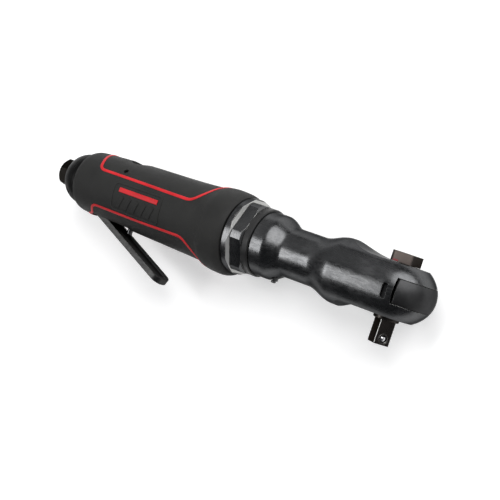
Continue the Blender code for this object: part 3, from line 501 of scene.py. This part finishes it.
def inlet_thread(start, end, root, crest, pitch, steps=72, per_turn=6):
    """A closed bore cutter whose side carries a helical thread."""
    work = bmesh.new()
    count = int((end - start) / pitch * per_turn) + 1
    rings = []
    for k in range(count):
        along = start + (end - start) * k / (count - 1)
        ring = []
        for i in range(steps):
            phase = (along / pitch - i / steps) % 1.0
            radius = root + (crest - root) * abs(2 * phase - 1)
            y, z = polar(radius, 2 * math.pi * i / steps)
            ring.append(work.verts.new((along * MM, y * MM, z * MM)))
        rings.append(ring)
    for one, two in zip(rings, rings[1:]):
        for i in range(steps):
            j = (i + 1) % steps
            work.faces.new((one[i], one[j], two[j], two[i]))
    work.faces.new(rings[0])
    work.faces.new(rings[-1][::-1])
    mesh = bpy.data.meshes.new("thread")
    work.to_mesh(mesh)
    work.free()
    return tidied(mesh)


def inlet_bushing():
    """Chamfered hexagon and shank, bored and threaded for the air fitting."""
    hexagon = [polar(INLET_FLATS / math.sqrt(3.0), INLET_TURN + math.radians(60 * i)) for i in range(6)]
    head = prism([hexagon], 0.0, INLET_LENGTH, "X")
    head = combined(head, turned([(-1, 0), (-1, 6.8), (8, 15.8), (8, 0)], steps=FINE), "INTERSECT")
    body = joined(head, rod(2.0, 24.0, 7.2, chamfer=0.6))
    body = cut(body, inlet_thread(-0.6, 17.0, 6.35, 5.6, 1.411), rod(16.0, 25.0, 4.0),
               turned([(-1, 0), (-1, 8.2), (1.1, 5.8), (1.1, 0)]))
    return softened(body, 0.18, 2, 40.0)


def exhaust_deflector():
    """Domed cap with three exhaust slots on its belly side and a groove near its rim."""
    dome = [(7.3, 8.4), (7.45, 9.2), (8.0, 10.3), (8.8, 11.4), (9.9, 12.5), (11.3, 13.7), (12.9, 14.7),
            (14.5, 15.5), (16.3, 16.1), (17.7, 16.45), (18.9, 16.7), (20.6, 16.75), (21.0, 16.6),
            (21.3, 16.2)]
    inside = [(21.3, 14.2), (16.7, 14.2), (13.3, 12.0), (11.1, 9.0), (11.1, 7.5)]
    body = turned(dome + inside + [(7.3, 7.5)], steps=FINE)
    slots = []
    for angle in (-40.0, 0.0, 40.0):
        slot = block((12.1, -20.0, -3.2), (15.9, -9.0, 3.2), bevel=1.1, segments=4)
        slots.append(rolled(slot, math.radians(angle)))
    groove = turned([(17.3, 16.25), (17.3, 17.5), (17.8, 17.5), (17.8, 16.25)], steps=FINE)
    return softened(cut(body, groove, *slots), 0.12, 2, 40.0)


# ---------------------------------------------------------------- grip

GRIP_STATIONS = [
    # along, spine radius, belly radius
    (GRIP_START, 16.9, 17.2),
    (23.0, 18.8, 18.7),
    (26.5, 19.9, 19.6),
    (34.0, 20.4, 20.2),
    (68.0, 21.7, 21.4),
    (104.0, 22.5, 22.7),
    (123.0, 23.5, 23.5),
    (127.5, 24.3, 24.3),
    (131.5, 25.1, 25.8),
    (135.5, 25.3, 26.5),
    (142.0, 25.0, 26.7),
    (145.6, 24.4, 25.9),
    (GRIP_END, 23.6, 24.5),
]


def monotone(xs, ys, x):
    """Smooth interpolation through the stations without overshoot."""
    slopes = np.diff(ys) / np.diff(xs)
    tangents = np.empty(len(xs))
    tangents[0], tangents[-1] = slopes[0], slopes[-1]
    for i in range(1, len(xs) - 1):
        one, two = slopes[i - 1], slopes[i]
        tangents[i] = 0.0 if one * two <= 0 else 2 * one * two / (one + two)
    i = int(np.clip(np.searchsorted(xs, x) - 1, 0, len(xs) - 2))
    span = xs[i + 1] - xs[i]
    t = (x - xs[i]) / span
    return ((1 + 2 * t) * (1 - t) ** 2 * ys[i] + t * (1 - t) ** 2 * span * tangents[i]
            + t * t * (3 - 2 * t) * ys[i + 1] + t * t * (t - 1) * span * tangents[i + 1])


STATION_X = np.array([s[0] for s in GRIP_STATIONS])
SPINE_R = np.array([s[1] for s in GRIP_STATIONS])
BELLY_R = np.array([s[2] for s in GRIP_STATIONS])


def grip_radius(x, angle):
    """Sleeve radius at a place along the grip; the angle runs from the spine (+Y) towards +Z."""
    spine, belly = monotone(STATION_X, SPINE_R, x), monotone(STATION_X, BELLY_R, x)
    return (spine + belly) / 2 + (spine - belly) / 2 * math.cos(angle)


def grip_sleeve():
    """The moulded sleeve: its outside lofted from the stations, with the lever's pocket and recess cut in."""
    count = 144
    outside = list(np.linspace(GRIP_START, 28.0, 18)) + list(np.linspace(30.0, 122.0, 32))
    outside += list(np.linspace(123.5, GRIP_END, 30))
    bore = [(GRIP_END, 21.8), (127.7, 21.8), (123.7, 19.3), (34.0, 19.3), (26.0, 17.5), (GRIP_START, 16.1)]
    work = bmesh.new()
    loops = []
    for x in outside:
        angles = [2 * math.pi * i / count for i in range(count)]
        ring = [(x, *polar(grip_radius(x, a), a)) for a in angles]
        loops.append([work.verts.new([c * MM for c in p]) for p in ring])
    for x, radius in bore:
        ring = [(x, *polar(radius, 2 * math.pi * i / count)) for i in range(count)]
        loops.append([work.verts.new([c * MM for c in p]) for p in ring])
    for one, two in zip(loops, loops[1:] + loops[:1]):
        for i in range(count):
            j = (i + 1) % count
            work.faces.new((one[i], one[j], two[j], two[i]))
    mesh = bpy.data.meshes.new("sleeve")
    work.to_mesh(mesh)
    work.free()
    half = POCKET_HALF_WIDTH
    body = cut(
        tidied(mesh),
        block((POCKET_START, -30.0, -half), (POCKET_END, POCKET_FLOOR, half), bevel=1.0),
        block((POCKET_START + 5, -30.0, -half), (RECESS_END, RECESS_FLOOR, half), bevel=0.8),
        rod(WELL_FLOOR, 30.0, WELL_R, "Y", (REGULATOR_X, 0, 0), steps=96),
        rolled(rod(15.0, 30.0, 1.7, "Z", (PLUG_X, 0, 0)), -PLUG_TILT),
    )
    return softened(body, 0.35, 3, 40.0)


def rounded_path(corners, radius, closed, step=0.7):
    """Evenly sampled line through (x, arc) corners, each corner replaced by a curve."""
    points = [Vector(c) for c in corners]
    count = len(points)
    keys = []
    share = 0.48
    for i, here in enumerate(points):
        if not closed and i in (0, count - 1):
            keys.append([here])
            continue
        back, ahead = points[i - 1], points[(i + 1) % count]
        r = min(radius, (back - here).length * share, (ahead - here).length * share)
        one = here + (back - here).normalized() * r
        two = here + (ahead - here).normalized() * r
        keys.append([one * (1 - t) ** 2 + here * 2 * t * (1 - t) + two * t * t
                     for t in np.linspace(0, 1, 9)])
    flat = [p for key in keys for p in key]
    if closed:
        flat.append(flat[0])
    path = []
    for one, two in zip(flat, flat[1:]):
        steps = max(1, int((two - one).length / step))
        path += [one + (two - one) * k / steps for k in range(steps)]
    if not closed:
        path.append(flat[-1])
    return path


def ribbon(corners, width, lift, radius=3.0, closed=True, sink=0.5):
    """A low rounded rib on the sleeve's surface, along (x, angle) corners with angles in degrees from +Z."""
    path = rounded_path([(x, math.radians(a) * INLAY_R) for x, a in corners], radius, closed)
    half = width / 2
    edge = min(0.35, half * 0.5)
    rise = [(-half, -sink), (-half, lift * 0.45), (-half + edge * 0.35, lift * 0.82), (-half + edge, lift)]
    section = rise + [(0.0, lift * 1.06)] + [(-offset, height) for offset, height in rise[::-1]]
    work = bmesh.new()
    rows = []
    count = len(path)
    for i, here in enumerate(path):
        ahead = path[(i + 1) % count] if closed or i + 1 < count else here
        back = path[i - 1] if closed or i > 0 else here
        along = (ahead - back).normalized()
        across = Vector((-along.y, along.x))
        row = []
        for offset, height in section:
            spot = here + across * offset
            angle = math.pi / 2 - spot.y / INLAY_R
            y, z = polar(grip_radius(spot.x, angle) + height, angle)
            row.append(work.verts.new((spot.x * MM, y * MM, z * MM)))
        rows.append(row)
    pairs = list(zip(rows, rows[1:]))
    if closed:
        pairs.append((rows[-1], rows[0]))
    for one, two in pairs:
        for k in range(len(section)):
            m = (k + 1) % len(section)
            work.faces.new((one[k], one[m], two[m], two[k]))
    if not closed:
        work.faces.new(rows[0][::-1])
        work.faces.new(rows[-1])
    mesh = bpy.data.meshes.new("ribbon")
    work.to_mesh(mesh)
    work.free()
    return tidied(mesh)


def loop_both_sides(half, middle):
    """A line on the +Z side closed by its mirror image on the -Z side, over the given middle angle."""
    return half + [(x, 2 * middle - a) for x, a in half[::-1] if abs(a - middle) > 1]


def grip_inlays():
    """The two red lines, one round the spine and one round the belly."""
    spine = [(34.0, 90), (36.6, 58), (40.6, 28.5), (117.0, 25.5), (123.3, 47), (127.2, 76), (128.0, 90)]
    belly = [(31.8, -90), (32.6, -74), (37.6, -66), (41.4, -38.8), (79.0, -37.6), (117.0, -33.9),
             (122.9, -47.7), (128.5, -64), (131.0, -90)]
    return merged([
        ribbon(loop_both_sides(spine, 90), 1.9, 0.28, radius=4.0),
        ribbon(loop_both_sides(belly, -90), 1.7, 0.28, radius=4.0),
    ])


def panel_bar():
    """The red bar at the top of the side panel."""
    return ribbon([(63.0, 4.6), (94.6, 4.6)], 2.9, 0.45, closed=False)


def panel_relief():
    """Raised frame and plain slanted ribs under the red bar, the same on both sides of the handle."""
    pieces = []
    for turn in (lambda a: a, lambda a: 180 - a):
        frame_line = [(58.5, turn(15)), (97.5, turn(15)), (97.5, turn(-31)), (58.5, turn(-31))]
        pieces.append(ribbon(frame_line, 1.1, 0.34, radius=3.0))
        for k in range(5):
            x = 64.0 + 6.3 * k
            pieces.append(ribbon([(x, turn(-25)), (x + 3.2, turn(-5))], 2.6, 0.45, closed=False))
    return merged(pieces)


# ---------------------------------------------------------------- throttle


def throttle_lever():
    """Folded plate: rounded edges, hollow on its inner side, with a hinge barrel."""
    tip = arc((LEVER_LENGTH - LEVER_TIP_R, LEVER_HALF_WIDTH - LEVER_TIP_R), LEVER_TIP_R, 90, 0, 14)
    outline = [(0.0, LEVER_HALF_WIDTH)] + tip + [(x, -z) for x, z in tip[::-1]] + [(0.0, -LEVER_HALF_WIDTH)]
    plate = prism([[(z, x) for x, z in outline]], -LEVER_OUTER, -LEVER_INNER, "Y")
    plate = softened(plate, 1.35, 6, 50.0)
    barrel = rod(-LEVER_HALF_WIDTH + 0.1, LEVER_HALF_WIDTH - 0.1, LEVER_BARREL_R, "Z", chamfer=0.4)
    lever = joined(plate, barrel)
    hollow = block((9.0, -LEVER_INNER - 1.5, -LEVER_HALF_WIDTH + 2.2),
                   (LEVER_LENGTH - 3.4, 4.0, LEVER_HALF_WIDTH - 2.2), bevel=1.2, segments=4)
    lever = cut(lever, hollow, rod(-10.0, 10.0, 1.8, "Z"))
    lever.transform(Matrix.Translation((HINGE_X * MM, HINGE_Y * MM, 0.0)))
    return rolled(lever, -LEVER_OPEN, "Z", (HINGE_X, HINGE_Y, 0))


def valve_stem():
    tip = [(VALVE_TIP + VALVE_R * (1 - math.cos(a)), VALVE_R * math.sin(a))
           for a in np.linspace(0, math.pi / 2, 8)]
    tip[0] = (VALVE_TIP, 0)
    head = [(-10.2, VALVE_R), (-10.2, 3.0), (-9.4, 3.5), (-8.2, 3.5), (-8.2, 0)]
    return turned(tip + head, "Y", (VALVE_X, 0, 0))


def air_regulator():
    profile = [(4.6, 0), (8.5, 3.3), (REGULATOR_TOP - 0.5, 3.3), (REGULATOR_TOP, 2.8), (REGULATOR_TOP, 0)]
    body = turned(profile, "Y", (REGULATOR_X, 0, 0))
    slot = block((REGULATOR_X - 5, REGULATOR_TOP - 1.2, -0.5), (REGULATOR_X + 5, REGULATOR_TOP + 2, 0.5))
    return softened(cut(body, slot), 0.12, 2, 40.0)


# ---------------------------------------------------------------- nut and ratchet housing


def clamp_nut():
    """Round flange and six flats. A slope leads from each flat up to the flange, where the CAD has a step."""
    profile = [
        (147.3, SPIGOT_R + GAP), (147.3, 22.7), (147.5, 23.2), (148.1, NUT_FLANGE_R), (152.2, NUT_FLANGE_R),
        (NUT_FLANGE_END, 23.2), (NUT_FLANGE_END, 22.7), (160.0, 22.7), (NUT_FLATS_END, 21.5),
        (NUT_FLATS_END, 20.9), (164.8, 20.9), (165.3, 20.4), (165.3, SPIGOT_R + GAP),
    ]
    body = turned(profile, steps=FINE)
    hexagon = [polar(NUT_FLATS / math.sqrt(3.0), math.radians(30 + 60 * i)) for i in range(6)]
    outside = cut(rod(NUT_FLANGE_END, NUT_FLATS_END, 27.0, steps=64), prism([hexagon], 150.0, 163.0))
    slope_start, slope_end, widening = 151.2, 152.8, 1.10
    shoulder = prism([hexagon], slope_start, slope_end)
    for vertex in shoulder.vertices:
        if vertex.co.x < (slope_start + slope_end) / 2 * MM:
            vertex.co.yz = vertex.co.yz * widening
    ramp = cut(rod(slope_start + 0.1, NUT_FLANGE_END, 30.0, steps=64), shoulder)
    return softened(cut(body, outside, ramp), 0.18, 3, 25.0)


def faces_in(obj, finish, wanted):
    """Give the faces whose centre and normal pass the test a second finish."""
    obj.data.materials.append(FINISH[finish])
    index = len(obj.data.materials) - 1
    for face in obj.data.polygons:
        if wanted(face.center / MM, face.normal):
            face.material_index = index


def nose_profile(count=30):
    """The head's round end, from its full radius to the point on the axis."""
    angles = [math.pi / 2 * i / count for i in range(count)]
    return [(ANVIL_X + NOSE * math.sin(a), BELL_R * math.cos(a)) for a in angles] + [(LENGTH, 0)]


def flat_cutter(start, full, height, side, overrun, count):
    """What is milled off one side of the head: a long arc down to a flat, which runs on to the nose."""
    rise = BELL_R - abs(height)
    radius = ((full - start) ** 2 + rise ** 2) / (2 * rise)
    sweep = math.degrees(math.asin((full - start) / radius)) + overrun
    line = arc((full, height + side * radius), radius, -side * (90 + sweep), -side * 90, count)
    line += [(LENGTH + 5, height), (LENGTH + 5, side * 30.0), (line[0][0], side * 30.0)]
    return prism([line], -30.0, 30.0, "Z")


def flats():
    return [
        flat_cutter(222.9, 242.7, FLAT_SPINE, 1, 4, 28),
        flat_cutter(224.0, 231.0, FLAT_BELLY, -1, 12, 22),
    ]


def yoke_slot():
    """The flat space that the yoke swings in: a channel from the neck, a round pocket and the open nose."""
    channel = 14.9
    rear = math.degrees(math.acos(-math.sqrt(SLOT_R ** 2 - channel ** 2) / SLOT_R))
    front = math.degrees(math.acos((SLOT_SIDE_X - ANVIL_X) / SLOT_R))
    side = [(z, ANVIL_X + x) for x, z in arc((0.0, 0.0), SLOT_R, rear, front, 24)]
    half = [(channel, 215.0)] + side + [(30.0, SLOT_SIDE_X - 0.6), (30.0, LENGTH + 5)]
    outline = half + [(-z, x) for z, x in half[::-1]]
    return prism([outline], -SLOT_HALF, SLOT_HALF, "Y")


def ratchet_housing():
    """Spigot, bell, neck and head in one, with its bores, the yoke's slot and a window in its side."""
    profile = [(141.3, 0), (141.3, SPIGOT_R), (BELL_START - 0.4, SPIGOT_R), (BELL_START - 0.4, BELL_R - 0.4),
               (BELL_START, BELL_R)]
    profile += eased((BELL_END, BELL_R), (NECK_START, NECK_R), 24) + [(NECK_START, NECK_R)]
    profile += eased((NECK_END, NECK_R), (HEAD_START, BELL_R), 24) + [(HEAD_START, BELL_R)] + nose_profile()
    body = turned(profile, steps=FINE)
    at_anvil = (ANVIL_X, 0, 0)
    cuts = flats() + [
        turned([(140.0, 0), (140.0, 15.5), (170.0, 15.5), (177.0, 8.3), (219.0, 8.3), (219.0, 0)]),
        yoke_slot(),
        block((257.5, WINDOW_Y - 4.35, 14.0), (260.5, WINDOW_Y + 4.35, 30.0), bevel=0.5),
        rod(-20.0, 0.0, COLLAR_R + GAP, "Y", at_anvil, steps=96),
        rod(0.0, 20.0, STUB_R + GAP, "Y", at_anvil, steps=96),
        rod(14.0, 20.0, 9.4, "Y", at_anvil, steps=96),
        rod(-25.0, -14.2, 2.7, "Y", (GREASE_X, 0, 0)),
    ]
    return softened(cut(body, *cuts), 0.3, 3, 28.0)


def grease_fitting():
    return turned([(-20.7, 0), (-20.7, 0.8), (-20.55, 1.15), (-20.2, 1.7), (-19.9, 1.35), (-19.5, 1.4),
                   (-19.2, 2.2), (-18.9, 2.4), (-14.6, 2.4), (-14.6, 0)], "Y", (GREASE_X, 0, 0))


# ---------------------------------------------------------------- ratchet head


def ratchet_yoke():
    """Disc, rounded nose and forked arm in one plate, with teeth round its bore."""
    at_anvil = (ANVIL_X, 0, 0)
    disc = rod(-YOKE_HALF, YOKE_HALF, 17.2, "Y", at_anvil, steps=FINE)
    nose = turned([(ANVIL_X - 1, 0), (ANVIL_X - 1, BELL_R)] + nose_profile(), steps=FINE)
    front = block((SLOT_SIDE_X + 1.6, -YOKE_HALF, -30.0), (LENGTH + 5, YOKE_HALF, 30.0))
    arm_outline = [
        (12.6, 218.6), (12.6, 236.0), (13.8, 252.0), (-13.8, 252.0), (-12.6, 236.0), (-12.6, 218.6),
        (-8.7, 218.6), (-8.7, 231.0), (-6.7, 233.0), (6.7, 233.0), (8.7, 231.0), (8.7, 218.6),
    ]
    arm = prism([arm_outline], -YOKE_HALF + 0.05, YOKE_HALF - 0.05, "Y")
    body = joined(combined(nose, front, "INTERSECT"), disc, arm)
    count = 60
    teeth = []
    for i in range(count):
        middle = 2 * math.pi * i / count
        teeth.append(polar(12.4, middle))
        teeth.append(polar(11.6, middle + math.pi / count))
    return softened(cut(body, prism([teeth], -9.0, 9.0, "Y", at_anvil)), 0.3, 3, 50.0)


def square_turned(mesh):
    return rolled(mesh, -SQUARE_TURN, "Y", (ANVIL_X, 0, 0))


def on_square_edge(normal):
    """True on the middle of the square's four rounded long edges."""
    local = Matrix.Rotation(SQUARE_TURN, 3, "Y") @ normal
    return min(abs(local.x), abs(local.z)) > 0.5


def anvil():
    """Collar, disc and drive square in one, with the pawl's seat, the cross bores and the ball's seat."""
    at_anvil = (ANVIL_X, 0, 0)
    profile = [(COLLAR_END, 0), (COLLAR_END, COLLAR_R - 0.9), (COLLAR_END + 0.15, COLLAR_R - 0.45),
               (COLLAR_END + 0.6, COLLAR_R), (-6.3, COLLAR_R), (-6.3, 10.9), (6.3, 10.9), (6.3, STUB_R),
               (15.0, STUB_R), (15.0, 0)]
    half = SQUARE / 2
    square = square_turned(block((ANVIL_X - half, SQUARE_END, -half), (ANVIL_X + half, COLLAR_END + 4, half),
                                 bevel=SQUARE_BEVEL, segments=4))
    body = joined(turned(profile, "Y", at_anvil, steps=96), square)
    return softened(cut(
        body,
        block((ANVIL_X + 3.4, -5.3, -6.2), (ANVIL_X + 14.0, 5.3, 6.2)),
        rod(-2.5, 2.5, 4.4, "Y", at_anvil),
        rod(0.0, 17.0, 2.8, "Y", at_anvil),
        rod(-7.0, 7.0, 1.6, "Y", (ANVIL_X + 6.8, 0, 0)),
        square_turned(rod(0.4, 8.0, BALL_R + GAP, at=(ANVIL_X, BALL_Y, 0))),
        square_turned(turned([(4.4, 2.7), (4.4, 3.0), (5.4, 3.0), (5.4, 2.7)], at=(ANVIL_X, BALL_Y, 0))),
    ), 0.15, 2, 40.0)


def detent_ball():
    centre = SQUARE / 2 + 0.6 - BALL_R
    profile = [(-BALL_R * math.cos(a), BALL_R * math.sin(a)) for a in np.linspace(0, math.pi, 25)]
    profile[0] = (-BALL_R, 0)
    profile[-1] = (BALL_R, 0)
    return square_turned(turned(profile, "X", (ANVIL_X + centre, BALL_Y, 0), steps=48))


def reverse_knob():
    """A block with rounded rear corners and softened edges, on its shaft."""
    round_r = 3.5
    corner = arc((KNOB_HALF_WIDTH - round_r, round_r - KNOB_HALF_LENGTH), round_r, -90, 0, 12)
    half = corner + [(KNOB_HALF_WIDTH, KNOB_HALF_LENGTH - 0.8)]
    half += [(KNOB_HALF_WIDTH - 0.23, KNOB_HALF_LENGTH - 0.23), (KNOB_HALF_WIDTH - 0.8, KNOB_HALF_LENGTH)]
    outline = [(z, ANVIL_X + x) for z, x in half + [(-z, x) for z, x in half[::-1]]]
    head = softened(prism([outline], KNOB_BASE, KNOB_TOP, "Y"), 0.9, 4, 60.0)
    body = joined(head, rod(-2.0, KNOB_BASE + 1, 2.5, "Y", (ANVIL_X, 0, 0)))
    hole = rolled(rod(-1.8, 4.0, 1.5, at=(ANVIL_X, 0, 0)), math.radians(30), "Y", (ANVIL_X, 0, 0))
    return cut(body, hole)


def direction_mark():
    """A plain red spot low on the knob's +Z face, near its rear."""
    low = (ANVIL_X - 4.6, KNOB_BASE + 0.2, KNOB_HALF_WIDTH - 0.25)
    high = (ANVIL_X - 1.2, KNOB_BASE + 1.2, KNOB_HALF_WIDTH + 0.07)
    return block(low, high, bevel=0.1)


def retaining_ring():
    profile = [(15.0, 7.3), (15.0, 9.1), (14.15, 9.1), (14.15, 7.3)]
    return softened(turned(profile, "Y", (ANVIL_X, 0, 0)), 0.12, 2)


# ---------------------------------------------------------------- pieces


piece("inlet_bushing_look", inlet_bushing(), "inlet", "handle", ["inlet_bushing"])
piece("exhaust_deflector_look", exhaust_deflector(), "plastic", "deflector", ["exhaust_deflector"])
piece("grip_sleeve_look", grip_sleeve(), "rubber", "handle", ["grip_sleeve"])
piece("grip_inlays", grip_inlays(), "red_rubber", "handle", [], smooth=60.0)
piece("panel_bar", panel_bar(), "red_rubber", "handle", [], smooth=60.0)
piece("panel_relief", panel_relief(), "rubber", "handle", [], smooth=60.0)
piece("throttle_lever_look", throttle_lever(), "lever", "lever", ["throttle_lever"])
piece("valve_stem_look", valve_stem(), "oxide", "valve", ["valve_stem"])
piece("air_regulator_look", air_regulator(), "oxide_turned", "regulator", ["air_regulator"])
nut = piece("clamp_nut_look", clamp_nut(), "oxide_turned", "handle", ["clamp_nut"])
# The nut's sloped shoulder faces take the light steel colour above: a painted highlight.
faces_in(nut, "machined", lambda at, normal: at.x < NUT_FLANGE_END and 0.5 < normal.x < 0.9
         and at.yz.length < NUT_FLANGE_R - 0.05)
faces_in(nut, "nitrile", lambda at, normal: at.x > NUT_FLATS_END + 0.2)
piece("ratchet_housing_look", ratchet_housing(), "oxide", "handle", ["ratchet_housing"])
piece("grease_fitting_look", grease_fitting(), "oxide", "handle", ["grease_fitting"])
piece("ratchet_yoke_look", ratchet_yoke(), "yoke", "yoke", ["ratchet_yoke"])
drive = piece("anvil_look", anvil(), "oxide_dark", "anvil", ["anvil"])
# The middle of the square's long rounded edges takes the light steel colour above: a painted highlight.
faces_in(drive, "edge", lambda at, normal: at.y < COLLAR_END and on_square_edge(normal))
piece("detent_ball_look", detent_ball(), "bright", "ball", ["detent_ball"])
knob = piece("reverse_knob_look", reverse_knob(), "oxide_dark", "knob", ["reverse_knob"])
faces_in(knob, "knob", lambda at, normal: at.y > KNOB_BASE and abs(normal.z) > 0.85)
piece("direction_mark", direction_mark(), "mark", "knob", [])
piece("retaining_ring_look", retaining_ring(), "bright", "anvil", ["retaining_ring"])

for finish, cad_nodes in CAD_FINISH.items():
    for node in cad_nodes:
        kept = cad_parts[node]
        kept.data.materials.clear()
        kept.data.materials.append(FINISH[finish])


# ---------------------------------------------------------------- floor, light and camera


def tool_point(x, y, z):
    return ORIGIN + Vector((x, y, z)) * MM


def studio_floor():
    made = Nodes("floor_paper")
    made.set(Base_Color=(0.80, 0.80, 0.80, 1.0), Roughness=0.9)
    made.set(Emission_Color=(1.0, 1.0, 1.0, 1.0), Emission_Strength=0.40)
    mesh = bpy.data.meshes.new("floor")
    side = 6.0
    corners = [(-side, -side, 0), (side, -side, 0), (side, side, 0), (-side, side, 0)]
    mesh.from_pydata(corners, [], [(0, 1, 2, 3)])
    mesh.materials.append(made.material)
    obj = bpy.data.objects.new("floor", mesh)
    SCENE.collection.objects.link(obj)


def facing(place, x_axis, y_axis, back):
    """The matrix of a light or camera at a place, looking away from 'back'."""
    return Matrix.Translation(place) @ Matrix((x_axis, y_axis, back)).transposed().to_4x4()


def softbox(name, toward, distance, wide, high, watts, up=(1, 0, 0), round_face=False):
    """A flat light in a direction from the tool's middle, facing it. Its wide side lies along 'up'."""
    data = bpy.data.lights.new(name, "AREA")
    data.shape = "ELLIPSE" if round_face else "RECTANGLE"
    data.size = wide
    data.size_y = high
    data.energy = watts
    obj = bpy.data.objects.new(name, data)
    SCENE.collection.objects.link(obj)
    back = Vector(toward).normalized()
    x_axis = (Vector(up) - back * Vector(up).dot(back)).normalized()
    y_axis = back.cross(x_axis)
    obj.matrix_world = facing(tool_point(150.0, 0.0, 0.0) + back * distance, x_axis, y_axis, back)


studio_floor()
softbox("key", (0.42, 0.68, 0.75), 1.1, 1.2, 1.2, 15.0, round_face=True)
softbox("strip", (-0.545, -0.21, 0.822), 1.0, 0.34, 0.62, 4.4)
softbox("upper", (-0.62, 0.62, 0.50), 1.1, 1.3, 1.2, 1.8)
softbox("front", (0.95, -0.20, 0.50), 1.1, 0.8, 0.8, 0.6, up=(0, 1, 0))

world = bpy.data.worlds.new("studio")
SCENE.world = world
world.use_nodes = True
world.node_tree.nodes["Background"].inputs["Color"].default_value = (0.9, 0.93, 1.0, 1.0)
world.node_tree.nodes["Background"].inputs["Strength"].default_value = 0.09
SCENE.view_settings.view_transform = "Standard"
SCENE.view_settings.look = "None"


def photo_camera():
    """Down on the side of the handle, from the head's end, with the tool sloping down to the right."""
    turn, lift, slope = math.radians(33.0), math.radians(2.5), math.radians(20.05)
    back = Vector((math.sin(turn) * math.cos(lift), math.sin(lift), math.cos(turn) * math.cos(lift)))
    along = (Vector((1, 0, 0)) - back * back.x).normalized()
    right = along * math.cos(slope) + back.cross(along) * math.sin(slope)
    up = back.cross(right)
    data = bpy.data.cameras.new("photo_camera")
    data.lens = 108.0
    data.sensor_width = 36.0
    obj = bpy.data.objects.new("photo_camera", data)
    SCENE.collection.objects.link(obj)
    obj.matrix_world = facing(tool_point(154.8, -7.0, 0.0) + back * 0.90, right, up, back)
    SCENE.camera = obj


photo_camera()
